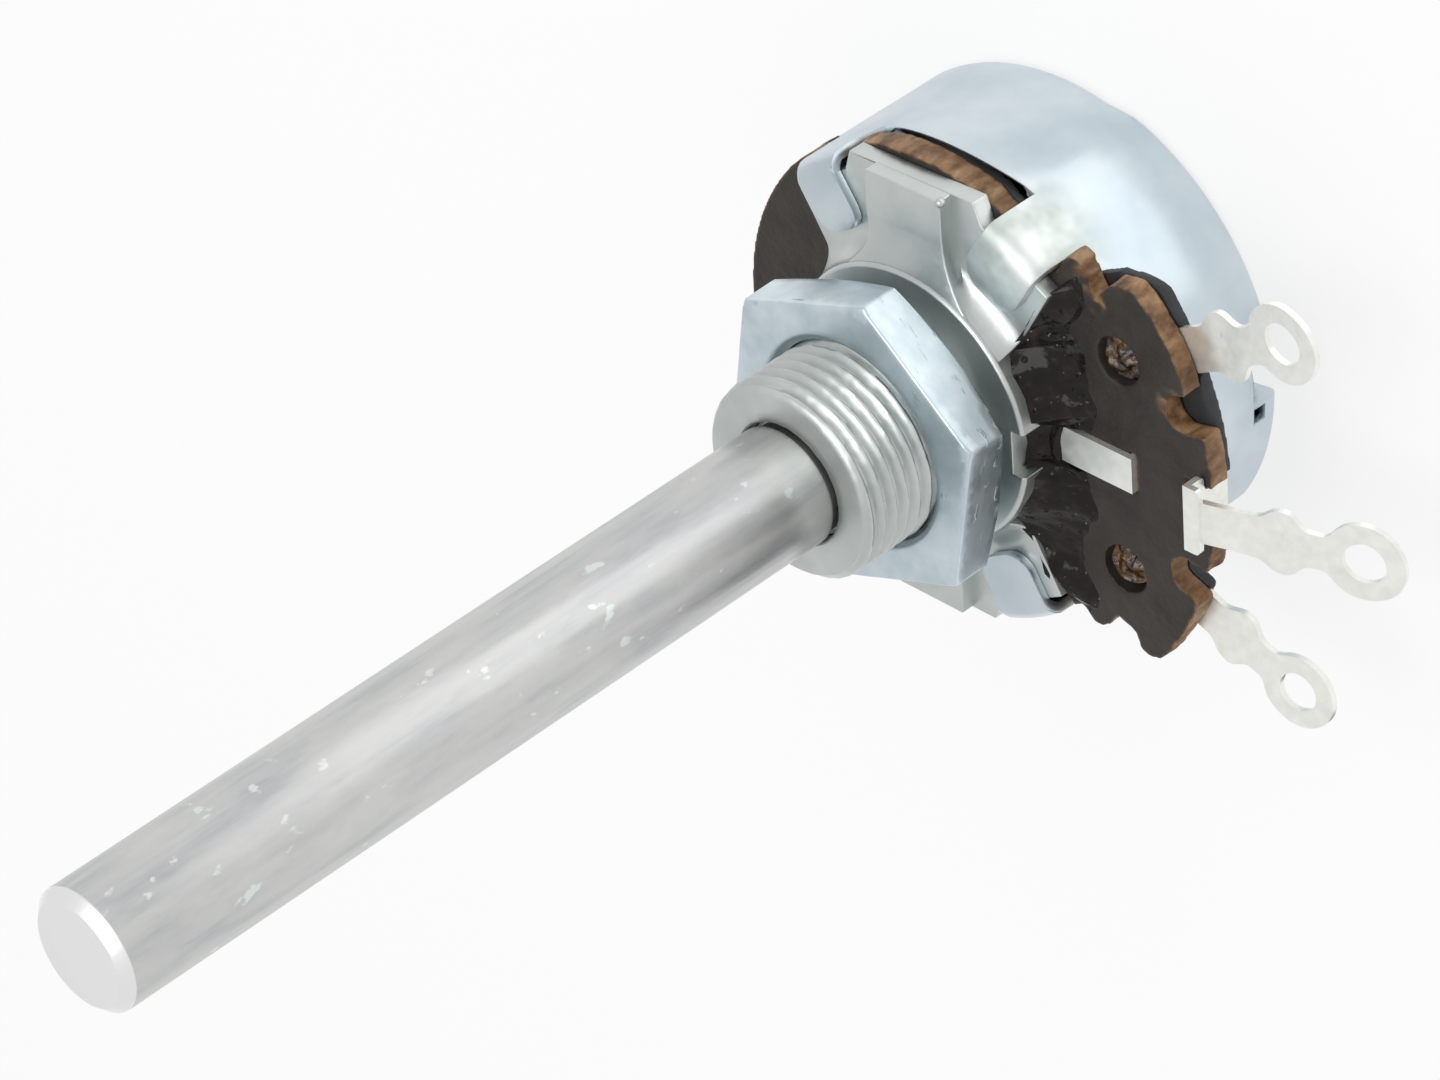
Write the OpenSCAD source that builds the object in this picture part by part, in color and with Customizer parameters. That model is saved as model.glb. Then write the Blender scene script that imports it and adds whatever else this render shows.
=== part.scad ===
// Rotary potentiometer, 24 mm can, 6 mm shaft, three solder lugs.
// The origin is on the shaft's axis, in the face of the boss that seats on a panel.
// +Z runs along the shaft to its tip, and the solder lugs point to -Y.

/* [Shaft] */
// Diameter of the shaft
shaft_d = 6; // [5:0.1:6.4]
// Height of the shaft's tip above the panel seat
shaft_h = 50; // [20:1:60]
// Chamfer round the tip
tip_chamfer = 0.5; // [0.2:0.1:1]
// Radial clearance between the shaft and its bearing
shaft_clear = 0.05; // [0.02:0.01:0.1]
// Depth of the relief in the shaft at the bush's mouth
neck_depth = 0.2; // [0.2:0.05:0.3]
// Diameter at the bottom of the clip groove
groove_d = 4.6; // [4:0.1:4.8]
// Diameter of the tail that carries the rotor
tail_d = 3.6; // [3:0.1:3.9]
// Width across the two flats of the tail
tail_flats = 2.8; // [2.4:0.1:3]
// Diameter of the staked head at the tail's end
stake_d = 5; // [4.4:0.1:6]
// Thickness of the staked head
stake_h = 0.5; // [0.3:0.1:0.8]

/* [Bush and boss] */
// Outer diameter of the threaded bush
bush_d = 10; // [9.6:0.1:10.4]
// Height of the bush above the panel seat
bush_h = 8; // [7:0.5:12]
// Height of the plain stretch at the foot of the bush
bush_plain_h = 1.2; // [0.8:0.1:1.4]
// Pitch of the thread
thread_pitch = 0.75; // [0.5:0.05:1]
// Depth of the thread
thread_depth = 0.4; // [0.2:0.05:0.5]
// Chamfer at the bush's mouth
bush_chamfer = 0.6; // [0.3:0.1:1]
// Countersink of the bearing at the bush's mouth
bore_chamfer = 0.25; // [0.1:0.05:0.4]
// Diameter of the boss
boss_d = 14.1; // [13:0.1:14.6]
// Edge break round the boss
boss_edge = 0.15; // [0.05:0.05:0.3]
// Width of the notch in the boss over the centre strap
boss_notch_w = 2.3; // [2.1:0.1:3]
// Depth of that notch
boss_notch_depth = 0.8; // [0.5:0.1:1]

/* [Plate] */
// Depth of the plate's rear face below the panel seat
plate_rear = 2.3; // [2:0.1:2.8]
// Thickness of the plate's arms
plate_t = 0.95; // [0.7:0.05:1.2]
// How far each arm's straight end stays inside the can's rim
arm_setback = 0.4; // [0.3:0.1:0.8]
// Half the length of that straight end
arm_end_half = 3.35; // [3:0.05:3.6]
// How far the tab seats' edges stay inside the can's rim
seat_setback = 1; // [1:0.1:1.4]
// Angle on the boss at which the arms' waists start
waist_angle = 51; // [46:1:54]
// Half the width of the raised rib on each arm
rib_half = 2; // [1.6:0.1:2.4]
// Depth of the rib's top below the panel seat
rib_depth = 0.6; // [0.4:0.1:0.8]
// Step between the rib's end and the arm's end
rib_step = 0.1; // [0.1:0.05:0.4]
// Length of the coves in which the ribs rise to the boss
rib_cove = 2.2; // [1.5:0.1:2.6]
// Length of the coves in which the plate rises to the boss
plate_cove = 1.1; // [0.6:0.1:1.2]
// Outer radius of the bearing hub behind the plate
hub_r = 4.3; // [4.1:0.1:4.5]

/* [Nut] */
// Width across flats of the nut
nut_af = 14; // [13:0.5:15]
// Thickness of the nut
nut_h = 2.6; // [2:0.1:3]
// Height of the nut above the panel seat
nut_z = 1.45; // [0.2:0.05:3]
// Turn of the nut
nut_turn = 50; // [0:1:60]
// Radial clearance between the nut's bore and the bush
nut_clear = 0.04; // [0.02:0.01:0.1]

/* [Boards] */
// How far the round part of both boards stands out past the can
board_overhang = 0.1; // [0:0.05:0.5]
// How far the terminal side of the boards stands out past the can
lobe_reach = 4.2; // [3.8:0.1:5]
// Thickness of the front board
front_board_t = 1.2; // [1:0.1:1.6]
// Thickness of the element board
element_board_t = 0.6; // [0.5:0.05:0.9]
// Diameter of the two glue holes
glue_hole_d = 2.4; // [2:0.1:2.8]
// Distance of the glue holes' middles from the terminal side's edge
glue_hole_inset = 3.95; // [3:0.05:4.5]
// Width of the notch at the centre lug
lug_notch_w = 2.1; // [2:0.1:2.4]
// Depth of that notch
lug_notch_depth = 1.7; // [1.2:0.1:2]

/* [Lugs] */
// Thickness of the lugs' sheet
lug_t = 0.3; // [0.2:0.05:0.4]
// Angle of the outer lugs from the centre lug
lug_angle = 26.5; // [24:0.5:29]
// Width of the outer lugs' shanks
lug_w = 2.2; // [1.8:0.1:2.4]
// Width of the centre strap
strap_w = 1.9; // [1.6:0.1:2]
// Width across the barbs
barb_w = 3.4; // [2.8:0.1:3.8]
// Width of the waist between the barbs and the eye
lug_waist_w = 1.8; // [1.4:0.1:2]
// Outer diameter of the eyes
eye_d = 3.95; // [3.6:0.05:4.4]
// Diameter of the holes in the eyes
eye_hole_d = 2.05; // [1.8:0.05:2.4]
// Length of the outer lugs' blades, up to the middle of the eye
outer_blade = 5.6; // [5:0.1:8]
// Length of the centre lug's blade in plan, up to the middle of the eye
centre_blade = 7.95; // [7:0.05:10]
// Rise of the right lug's blade
right_lug_rise = 4.5; // [0:0.5:6]
// Rise of the left lug's blade
left_lug_rise = -1.5; // [-3:0.5:3]
// Fall of the centre lug's blade
centre_lug_fall = 16.5; // [10:0.5:20]
// Height of the centre lug's fold above the front board
fold_h = 1.15; // [0.9:0.05:1.4]
// Width of the centre lug's shoulders
shoulder_w = 3.5; // [3:0.1:3.8]

/* [Can] */
// Outer diameter of the can
can_d = 23.8; // [23.6:0.1:25]
// Wall of the can
can_wall = 0.5; // [0.4:0.05:0.6]
// Depth of the can's back below the panel seat
can_back = 11.4; // [11:0.1:13]
// Outer corner radius of the can
can_corner = 0.7; // [0.6:0.1:1.5]
// Angle of the can's tabs from the arms' middles
tab_angle = 30; // [29:0.5:31]
// Width of the can's tabs
tab_w = 3.3; // [3:0.1:3.5]
// Reach of the tabs inwards from the can's rim
tab_reach = 3.6; // [3:0.1:3.7]
// Direction of the pressed stop
stop_angle = -81; // [-86:1:-78]
// Width of the pressed stop
stop_w = 4; // [3:0.1:4.4]
// Depth to which the stop is pressed in
stop_press = 1.6; // [1.3:0.1:1.8]
// Height of the pressed stop
stop_h = 1.8; // [1.6:0.1:2.4]

/* [Rotor] */
// Gap between the insulating rotor disc and the can's wall
rotor_gap = 2.8; // [2.2:0.1:3.4]
// Thickness of the rotor disc
rotor_t = 1; // [0.8:0.1:1.2]
// Distance from the can's wall to the middle of the resistance track
track_inset = 2.1; // [1.9:0.1:2.3]
// Width of the resistance track
track_w = 2.2; // [1.6:0.1:2.4]
// Thickness of the printed track
track_t = 0.1; // [0.05:0.01:0.15]
// Outer radius of the collector ring
collector_r = 7.1; // [7:0.1:7.6]
// Distance from the collector ring's edge to the wiper's path on it
collector_inset = 1.5; // [1.4:0.05:1.6]
// Thickness of the collector ring
collector_t = 0.3; // [0.2:0.05:0.4]
// Half the turn of the shaft
half_turn = 150; // [140:1:152]
// Diameter of the contact buttons
button_d = 1.3; // [1:0.1:1.5]

/* [Hidden] */
$fn = 96;
eps = 0.01;
fit_gap = 0.05;
side_gap = 0.1;

shaft_r = shaft_d / 2;
bore_r = shaft_r + shaft_clear;
bush_r = bush_d / 2;
boss_r = boss_d / 2;
can_r = can_d / 2;
can_inner_r = can_r - can_wall;
board_r = can_r + board_overhang;
lobe_r = can_r + lobe_reach;
arm_reach = can_r - arm_setback;
seat_reach = can_r - seat_setback;
tab_end_r = can_r - tab_reach;
stop_flat_r = can_r - stop_press;
rotor_r = can_inner_r - rotor_gap;
track_contact_r = can_inner_r - track_inset;
collector_contact_r = collector_r - collector_inset;
glue_hole_r = lobe_r - glue_hole_inset;
lug_notch_floor = lobe_r - lug_notch_depth;
// Where the inner face of a tab's side edge lies
tab_inner_x = sqrt(pow(can_inner_r, 2) - pow(tab_w / 2, 2));

// Heights, all measured from the panel seat
plate_rear_z = -plate_rear;
plate_top_z = plate_rear_z + plate_t;
lug_top_z = plate_rear_z - front_board_t;
element_rear_z = lug_top_z - element_board_t;
can_rear_z = -can_back;
track_rear_z = element_rear_z - track_t;
collector_rear_z = element_rear_z - collector_t;
hub_rear_z = collector_rear_z - fit_gap;
washer_t = 0.3;
washer_rear_z = hub_rear_z - fit_gap - washer_t;
clip_t = 0.5;
clip_rear_z = washer_rear_z - clip_t;
shoulder_z = clip_rear_z - 0.4;
neck_in = 0.8;
neck_out = 0.2;
rotor_rear_z = shoulder_z - rotor_t;
stop_plate_t = 0.6;
stop_plate_rear_z = rotor_rear_z - stop_plate_t;

// Thread
thread_turns = floor((bush_h - bush_plain_h - bush_chamfer) / thread_pitch);

// Outer lugs: their riveted inner ends, and where the blades start
inner_pad_r = track_contact_r - 0.2;
rivet_d = 1;
blade_start_r = lobe_r + lug_t;

// Centre lug: where its strap dives through the boards and where it folds
inner_slit_r = collector_r - 0.65;
outer_slit_r = can_r - 0.3;
fold_y = lobe_r - 1.5 * lug_t;

// Wiper spring
spring_t = 0.25;
spring_inner_r = 4.6;
spring_outer_r = 7.4;
finger_w = 1.6;
spring_front_z = shoulder_z + spring_t;
spring_rivet_r = 6;
spring_rivet_d = 1.2;
button_h = 0.35;
track_button_z = track_rear_z - fit_gap - button_h;
collector_button_z = collector_rear_z - fit_gap - button_h;

// Stop
stop_clear_angle = 0.8;
slit_angle = stop_angle - 12.3;
slit_h = 0.7;
arm_flange_t = 0.6;
arm_flange_r = can_inner_r - 0.7;
arm_flange_h = 3.5;
arm_half = 180 - half_turn - stop_clear_angle
    - asin((stop_w / 2 + can_wall) / (arm_flange_r - arm_flange_t));
arm_rest_angle = stop_angle + 180;

function polar(r, a) = [r * cos(a), r * sin(a)];
// A point s outwards along a can tab's middle line and n across it
function tab_point(s, n) = [
    s * cos(tab_angle) - n * sin(tab_angle),
    s * sin(tab_angle) + n * cos(tab_angle)
];
// Height of a cove at the fraction u of its length, from the boss's rim to depth d
function cove_z(u, d) = -d + d * pow(1 - u, 2);

// The four can tabs stand at tab_angle on both sides of each arm
module at_tabs() {
    for (side = [0, 180], up = [1, -1])
        rotate([0, 0, side + up * tab_angle]) children();
}

module mirrored_x() {
    children();
    mirror([1, 0, 0]) children();
}

module ring(r_out, r_in, z_low, z_high) {
    translate([0, 0, z_low]) difference() {
        cylinder(r = r_out, h = z_high - z_low);
        translate([0, 0, -eps]) cylinder(r = r_in, h = z_high - z_low + 2 * eps);
    }
}

// Round stock with two flats, as on the shaft's tail
module flatted(d, flats, z_low, z_high) {
    translate([0, 0, z_low]) intersection() {
        cylinder(d = d, h = z_high - z_low);
        translate([-d, -flats / 2, 0]) cube([2 * d, flats, z_high - z_low]);
    }
}

// Turned shaft with clip groove, flatted tail and staked head
module shaft() {
    color("silver") union() {
        rotate_extrude() polygon([
            [0, shoulder_z],
            [shaft_r, shoulder_z],
            [shaft_r, clip_rear_z],
            [groove_d / 2, clip_rear_z],
            [groove_d / 2, washer_rear_z],
            [shaft_r, washer_rear_z],
            [shaft_r, bush_h - neck_in],
            [shaft_r - neck_depth, bush_h - neck_in],
            [shaft_r - neck_depth, bush_h + neck_out],
            [shaft_r, bush_h + neck_out],
            [shaft_r, shaft_h - tip_chamfer],
            [shaft_r - tip_chamfer, shaft_h],
            [0, shaft_h]
        ]);
        flatted(tail_d, tail_flats, stop_plate_rear_z, shoulder_z);
        translate([0, 0, stop_plate_rear_z - stake_h])
            cylinder(d1 = stake_d - 2 * stake_h, d2 = stake_d, h = stake_h);
    }
}

// Crests and roots of the bush's thread, from the plain foot up to the mouth
function thread_points() = [
    for (i = [0:thread_turns - 1], k = [0:2])
        let (z = bush_plain_h + i * thread_pitch)
        k == 0 ? [bush_r, z]
        : k == 1 ? [bush_r - thread_depth, z + thread_pitch * 0.44]
        : [bush_r, z + thread_pitch * 0.88]
];

// Bush, boss and bearing hub, revolved as one
module bush_body() {
    rotate_extrude() polygon(concat(
        [
            [0, hub_rear_z],
            [hub_r, hub_rear_z],
            [hub_r, plate_rear_z],
            [boss_r, plate_rear_z],
            [boss_r, -boss_edge],
            [boss_r - boss_edge, 0],
            [bush_r, 0]
        ],
        thread_points(),
        [
            [bush_r, bush_h - bush_chamfer],
            [bush_r - bush_chamfer, bush_h],
            [0, bush_h]
        ]
    ));
}

// A revolved skirt that falls in a cove of length l from depth start on the boss to a flat at depth d
module cove_skirt(l, start, d) {
    steps = 8;
    rotate_extrude() polygon(concat(
        [[boss_r - 1, plate_rear_z], [boss_r - 1, -start]],
        [for (i = [0:steps]) [boss_r + l * i / steps, cove_z(i / steps, d - start) - start]],
        [[can_r + 2, -d], [can_r + 2, plate_rear_z]]
    ));
}

// Outline of one arm, with its two tab seats and its waist
module arm_outline() {
    seat_half = tab_w / 2 + 0.3;
    corner_half = tab_w / 2 + 0.8;
    half = [
        [arm_reach, arm_end_half],
        tab_point(seat_reach, -seat_half),
        tab_point(seat_reach, corner_half),
        polar(boss_r - 0.1, waist_angle)
    ];
    polygon(concat(
        half,
        [[0, 0]],
        [for (i = [3:-1:0]) [half[i][0], -half[i][1]]]
    ));
}

// Outline of the raised rib, which flares in a curve where it meets the boss
module rib_outline() {
    flare = 1.9;
    steps = 6;
    x_end = boss_r + rib_cove;
    x_boss = sqrt(pow(boss_r, 2) - pow(rib_half + flare, 2)) - 0.1;
    half = concat(
        [[arm_reach - rib_step, rib_half]],
        [for (i = [0:steps])
            let (u = i / steps) [x_end - u * (x_end - x_boss), rib_half + flare * u * u]]
    );
    polygon(concat(
        half,
        [for (i = [len(half) - 1:-1:0]) [half[i][0], -half[i][1]]]
    ));
}

module plate_arm() {
    intersection() {
        cove_skirt(plate_cove, 2 * boss_edge, -plate_top_z);
        translate([0, 0, plate_rear_z]) linear_extrude(plate_rear) arm_outline();
    }
    intersection() {
        cove_skirt(rib_cove, 1.3 * boss_edge, rib_depth);
        translate([0, 0, plate_rear_z]) linear_extrude(plate_rear) rib_outline();
    }
}

// Die-cast bush, boss and two-armed plate in one piece
module bush_plate() {
    color("lightgray") difference() {
        union() {
            bush_body();
            plate_arm();
            mirror([1, 0, 0]) plate_arm();
        }
        translate([0, 0, hub_rear_z - 1]) cylinder(r = bore_r, h = bush_h - hub_rear_z + 2);
        translate([0, 0, bush_h - bore_chamfer])
            cylinder(r1 = bore_r, r2 = bore_r + bore_chamfer + eps, h = bore_chamfer + eps);
        translate([-boss_notch_w / 2, -boss_r - 1, plate_rear_z - eps])
            cube([boss_notch_w, 1 + boss_notch_depth, plate_rear + 1]);
    }
}

module mounting_nut() {
    nut_r = nut_af / sqrt(3);
    rear_rim = 0.45;
    front_rim = 0.15;
    color("lightblue") translate([0, 0, nut_z]) difference() {
        intersection() {
            rotate([0, 0, nut_turn]) cylinder(r = nut_r, h = nut_h, $fn = 6);
            rotate_extrude() polygon([
                [0, 0],
                [nut_af / 2 - 0.2, 0],
                [nut_r, rear_rim],
                [nut_r, nut_h - front_rim],
                [nut_r - 2 * front_rim, nut_h],
                [0, nut_h]
            ]);
        }
        translate([0, 0, -1]) cylinder(r = bush_r + nut_clear, h = nut_h + 2);
        for (end = [0, 1])
            translate([0, 0, end * nut_h]) mirror([0, 0, end])
                translate([0, 0, -eps])
                    cylinder(r1 = bush_r + nut_clear + 0.4, r2 = bush_r + nut_clear, h = 0.4);
    }
}

module thrust_washer() {
    color("burlywood") ring(groove_d / 2 + 2, shaft_r + fit_gap, washer_rear_z, washer_rear_z + washer_t);
}

// Open spring clip in the shaft's groove
module retaining_clip() {
    color("dimgray") rotate([0, 0, 35]) rotate_extrude(angle = 290)
        translate([groove_d / 2, clip_rear_z]) square([1.7, clip_t]);
}

// One side of the terminal end of a board: from the middle out to the points given, then to its lobe
module board_side(points) {
    last = points[len(points) - 1];
    polygon(concat(
        [[0, -board_r / 2]],
        points,
        [[last[0], -lobe_r - 1], [0, -lobe_r - 1]]
    ));
}

// The ear, the notch and the worn outer lobe on the front board's right side
front_right = [
    polar(board_r - 1.8, -37.2),
    polar(lobe_r - 3.1, -38.2),
    polar(lobe_r - 2.8, -40.8),
    polar(lobe_r - 3, -44.2),
    polar(lobe_r - 3.5, -47.9),
    polar(lobe_r - 1.9, -47.2),
    polar(lobe_r - 0.9, -49.4),
    polar(lobe_r - 0.6, -53),
    polar(lobe_r - 0.45, -59),
    polar(lobe_r - 0.35, -65),
    polar(lobe_r - 0.5, -69.6)
];
// The same on its left side, mirrored
front_left = [
    polar(board_r - 1.8, -41),
    polar(lobe_r - 3.1, -41.8),
    polar(lobe_r - 2.75, -43.3),
    polar(lobe_r - 2.65, -46),
    polar(lobe_r - 2.8, -49.3),
    polar(lobe_r - 1.7, -51),
    polar(lobe_r - 1, -49.4),
    polar(lobe_r - 0.5, -49.7),
    polar(lobe_r - 0.1, -51.6)
];
// The plainer side of the element board
element_side = [
    polar(board_r - 2, -42.6),
    polar(lobe_r - 3.8, -44.4),
    polar(lobe_r - 2.4, -46.2),
    polar(lobe_r - 1.2, -49.4),
    polar(lobe_r - 0.4, -52.4)
];

// The notch between the outer lobe and the lobe beside the centre lug
module lobe_notch() {
    polygon([
        polar(lobe_r + 1, -69.2),
        polar(lobe_r - 1.7, -69.9),
        polar(lobe_r - 2, -74),
        polar(lobe_r - 1.5, -76.4),
        polar(lobe_r + 1, -76.8)
    ]);
}

// What both boards leave free: the hub, the can's tabs and the centre lug
module board_cutouts() {
    circle(r = hub_r + fit_gap);
    at_tabs() translate([tab_inner_x - fit_gap, -tab_w / 2 - side_gap])
        square([2, tab_w + 2 * side_gap]);
    translate([-strap_w / 2 - fit_gap, -inner_slit_r - lug_t - fit_gap])
        square([strap_w + 2 * fit_gap, lug_t + 2 * fit_gap]);
    translate([-lug_notch_w / 2, -lobe_r - 1])
        square([lug_notch_w, lobe_r + 1 - lug_notch_floor]);
}

module terminal_board() {
    color("saddlebrown") translate([0, 0, lug_top_z]) linear_extrude(front_board_t) difference() {
        union() {
            circle(r = board_r);
            intersection() {
                circle(r = lobe_r);
                union() {
                    board_side(front_right);
                    mirror([1, 0]) board_side(front_left);
                }
            }
        }
        board_cutouts();
        mirrored_x() {
            lobe_notch();
            translate(polar(glue_hole_r, lug_angle + 1.5 - 90)) circle(d = glue_hole_d);
        }
        translate([-strap_w / 2 - fit_gap, -outer_slit_r - fit_gap])
            square([strap_w + 2 * fit_gap, lug_t + 2 * fit_gap]);
    }
}

// Thin carbon-coated board behind the front board; the lugs lie in its recesses
module element_board() {
    color("dimgray") difference() {
        translate([0, 0, element_rear_z]) linear_extrude(element_board_t) difference() {
            union() {
                circle(r = board_r);
                intersection() {
                    circle(r = lobe_r - 0.4);
                    mirrored_x() board_side(element_side);
                }
            }
            board_cutouts();
            mirror([1, 0]) lobe_notch();
            mirrored_x() at_outer_lug() translate([inner_pad_r, 0]) circle(d = rivet_d);
        }
        translate([0, 0, lug_top_z - lug_t]) linear_extrude(lug_t + eps) {
            mirrored_x() at_outer_lug() shank_outline(side_gap);
            translate([-strap_w / 2 - side_gap, -fold_y - 2])
                square([strap_w + 2 * side_gap, fold_y + 2 - outer_slit_r + lug_t + side_gap]);
        }
    }
}

// Outer lugs: a flat shank between the boards, then a blade with barbs and an eye
module at_outer_lug() {
    rotate([0, 0, lug_angle - 90]) children();
}

module shank_outline(grow) {
    translate([inner_pad_r, 0]) circle(d = lug_w + 2 * grow);
    translate([inner_pad_r, -lug_w / 2 - grow]) square([lobe_r + 1 - inner_pad_r, lug_w + 2 * grow]);
}

// A blade along +X from its foot to its eye; the foot has width w, and the eye is at distance l
module blade(w, l) {
    barb_at = l - 5;
    difference() {
        linear_extrude(lug_t) union() {
            polygon([
                [0, -w / 2],
                [barb_at, -w / 2],
                [barb_at + 0.8, -barb_w / 2],
                [barb_at + 1.5, -barb_w / 2],
                [barb_at + 2.2, -lug_waist_w / 2],
                [l, -lug_waist_w / 2],
                [l, lug_waist_w / 2],
                [barb_at + 2.2, lug_waist_w / 2],
                [barb_at + 1.5, barb_w / 2],
                [barb_at + 0.8, barb_w / 2],
                [barb_at, w / 2],
                [0, w / 2]
            ]);
            translate([l, 0]) circle(d = eye_d);
        }
        translate([l, 0, -1]) cylinder(d = eye_hole_d, h = lug_t + 2);
    }
}

// Shank and blade of an outer lug on the right side, the blade tilted up by rise
module outer_lug(rise) {
    at_outer_lug() {
        translate([0, 0, lug_top_z - lug_t]) linear_extrude(lug_t) difference() {
            union() {
                translate([inner_pad_r, 0]) circle(d = lug_w);
                translate([inner_pad_r, -lug_w / 2]) square([blade_start_r - inner_pad_r, lug_w]);
            }
            translate([inner_pad_r, 0]) circle(d = rivet_d);
        }
        translate([blade_start_r - lug_t / 4, 0, lug_top_z - lug_t]) rotate([0, -rise, 0])
            blade(lug_w, outer_blade);
    }
}

module terminal_right() {
    color("gainsboro") outer_lug(right_lug_rise);
}

module terminal_left() {
    color("gainsboro") mirror([1, 0, 0]) outer_lug(left_lug_rise);
}

// A flat bar of the centre strap between two distances from the axis and two heights
module strap_bar(w, r_low, r_high, z_low, z_high) {
    translate([-w / 2, -r_high, z_low]) cube([w, r_high - r_low, z_high - z_low]);
}

// Centre lug: threaded through both boards, up through the outer notch and folded out
module terminal_centre() {
    fold_z = plate_rear_z + fold_h;
    color("gainsboro") union() {
        strap_bar(strap_w, inner_slit_r, inner_slit_r + lug_t, collector_rear_z, plate_rear_z + lug_t);
        strap_bar(strap_w, inner_slit_r, outer_slit_r, plate_rear_z, plate_rear_z + lug_t);
        strap_bar(strap_w, outer_slit_r - lug_t, outer_slit_r, lug_top_z - lug_t, plate_rear_z + lug_t);
        strap_bar(strap_w, outer_slit_r - lug_t, fold_y, lug_top_z - lug_t, lug_top_z);
        strap_bar(strap_w, fold_y - lug_t, fold_y, lug_top_z - lug_t, fold_z);
        strap_bar(shoulder_w, fold_y - lug_t, fold_y, plate_rear_z + fit_gap, fold_z);
        strap_bar(shoulder_w, fold_y - lug_t, fold_y + 2 * lug_t, fold_z - lug_t, fold_z);
        translate([0, -fold_y, fold_z - lug_t]) rotate([0, 0, -90]) rotate([0, centre_lug_fall, 0])
            blade(lug_w, centre_blade / cos(centre_lug_fall));
    }
}

module rivet(side) {
    color("gold") mirror([side, 0, 0]) at_outer_lug() translate([inner_pad_r, 0, element_rear_z])
        cylinder(d = rivet_d, h = lug_top_z - element_rear_z);
}

module rivet_right() {
    rivet(0);
}

module rivet_left() {
    rivet(1);
}

// Amber glue over the lugs in the two glue holes
module terminal_glue() {
    color("peru") mirrored_x()
        translate(concat(polar(glue_hole_r, lug_angle + 1.5 - 90), lug_top_z))
            cylinder(d = glue_hole_d, h = front_board_t * 0.45);
}

// Black lacquer in the corner between the boss and the front board
module sealing_lacquer() {
    bead_w = 1.7;
    bead_h = 1.5;
    steps = 5;
    start = waist_angle - 180;
    color("black") difference() {
        rotate([0, 0, start - 6]) rotate_extrude(angle = 180 - 2 * waist_angle + 12) polygon(concat(
            [[boss_r, plate_rear_z]],
            [for (i = [0:steps])
                let (u = i / steps) [boss_r + bead_w * u, plate_rear_z + bead_h * pow(1 - u, 1.6)]]
        ));
        strap_bar(strap_w + 2 * fit_gap, boss_r - 1, boss_r + 3,
            plate_rear_z - eps, plate_rear_z + lug_t + fit_gap);
        translate([0, 0, plate_rear_z - 1]) linear_extrude(plate_rear + 2) mirrored_x() arm_outline();
    }
}

// Horseshoe of carbon ink on the element board's rear face, ending over the rivets
module resistance_track() {
    track_half = 180 - lug_angle + 7;
    color("black") translate([0, 0, track_rear_z]) rotate([0, 0, 90 - track_half])
        rotate_extrude(angle = 2 * track_half)
            translate([track_contact_r - track_w / 2, 0]) square([track_w, track_t]);
}

module collector_ring() {
    color("gold") difference() {
        ring(collector_r, hub_r + 0.3, collector_rear_z, element_rear_z);
        strap_bar(strap_w + 2 * fit_gap, inner_slit_r - fit_gap, inner_slit_r + lug_t + fit_gap,
            collector_rear_z - 1, element_rear_z + 1);
    }
}

// Section of the can: wall, back corner and the folded tabs that lie over the plate
module can_section() {
    bend = 2 * can_wall;
    bend_z = plate_top_z + can_wall - bend;
    inner_corner = can_corner - can_wall;
    difference() {
        union() {
            translate([0, can_rear_z]) square([can_r - can_corner, can_wall]);
            translate([can_inner_r, can_rear_z + can_corner])
                square([can_wall, bend_z - can_rear_z - can_corner]);
            translate([tab_end_r, plate_top_z]) square([can_r - bend - tab_end_r, can_wall]);
            intersection() {
                translate([can_r - can_corner, can_rear_z + can_corner]) circle(r = can_corner);
                translate([can_r - can_corner, can_rear_z]) square(can_corner);
            }
            intersection() {
                translate([can_r - bend, bend_z]) circle(r = bend);
                translate([can_r - bend, bend_z]) square(bend);
            }
        }
        translate([can_r - can_corner, can_rear_z + can_corner]) circle(r = inner_corner);
        translate([can_r - bend, bend_z]) circle(r = bend - can_wall);
    }
}

// Outline of one can tab, rounded at its end
module tab_outline() {
    end_r = 1.2;
    translate([tab_end_r + end_r, -tab_w / 2]) square([can_r, tab_w]);
    translate([tab_end_r, -tab_w / 2 + end_r]) square([can_r, tab_w - 2 * end_r]);
    for (side = [-1, 1])
        translate([tab_end_r + end_r, side * (tab_w / 2 - end_r)]) circle(r = end_r);
}

// Drawn shell, cut down to the rim between the tabs
module can_shell() {
    difference() {
        rotate_extrude() can_section();
        translate([0, 0, element_rear_z]) linear_extrude(can_back) difference() {
            circle(r = can_r + 1);
            at_tabs() tab_outline();
        }
    }
}

// Block in the stop's direction, from radius r outwards, with half width w
module stop_block(r, w, z_low, z_high) {
    rotate([0, 0, stop_angle]) translate([r, -w, z_low]) cube([can_r - r + 1, 2 * w, z_high - z_low]);
}

// Drawn can with four folded tabs and a stop pressed in at its back corner
module can() {
    color("lightsteelblue") difference() {
        union() {
            can_shell();
            intersection() {
                translate([0, 0, can_rear_z]) cylinder(r = can_inner_r + can_wall * 0.4, h = can_back);
                stop_block(stop_flat_r - can_wall, stop_w / 2 + can_wall,
                    can_rear_z + can_wall * 0.6, can_rear_z + stop_h + can_wall);
            }
        }
        stop_block(stop_flat_r, stop_w / 2, can_rear_z - 1, can_rear_z + stop_h);
        // Slit sheared open beside the stop
        rotate([0, 0, slit_angle])
            translate([can_inner_r - 0.3, -0.4, can_rear_z + stop_h - slit_h]) cube([2, 0.8, slit_h]);
    }
}

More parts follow.
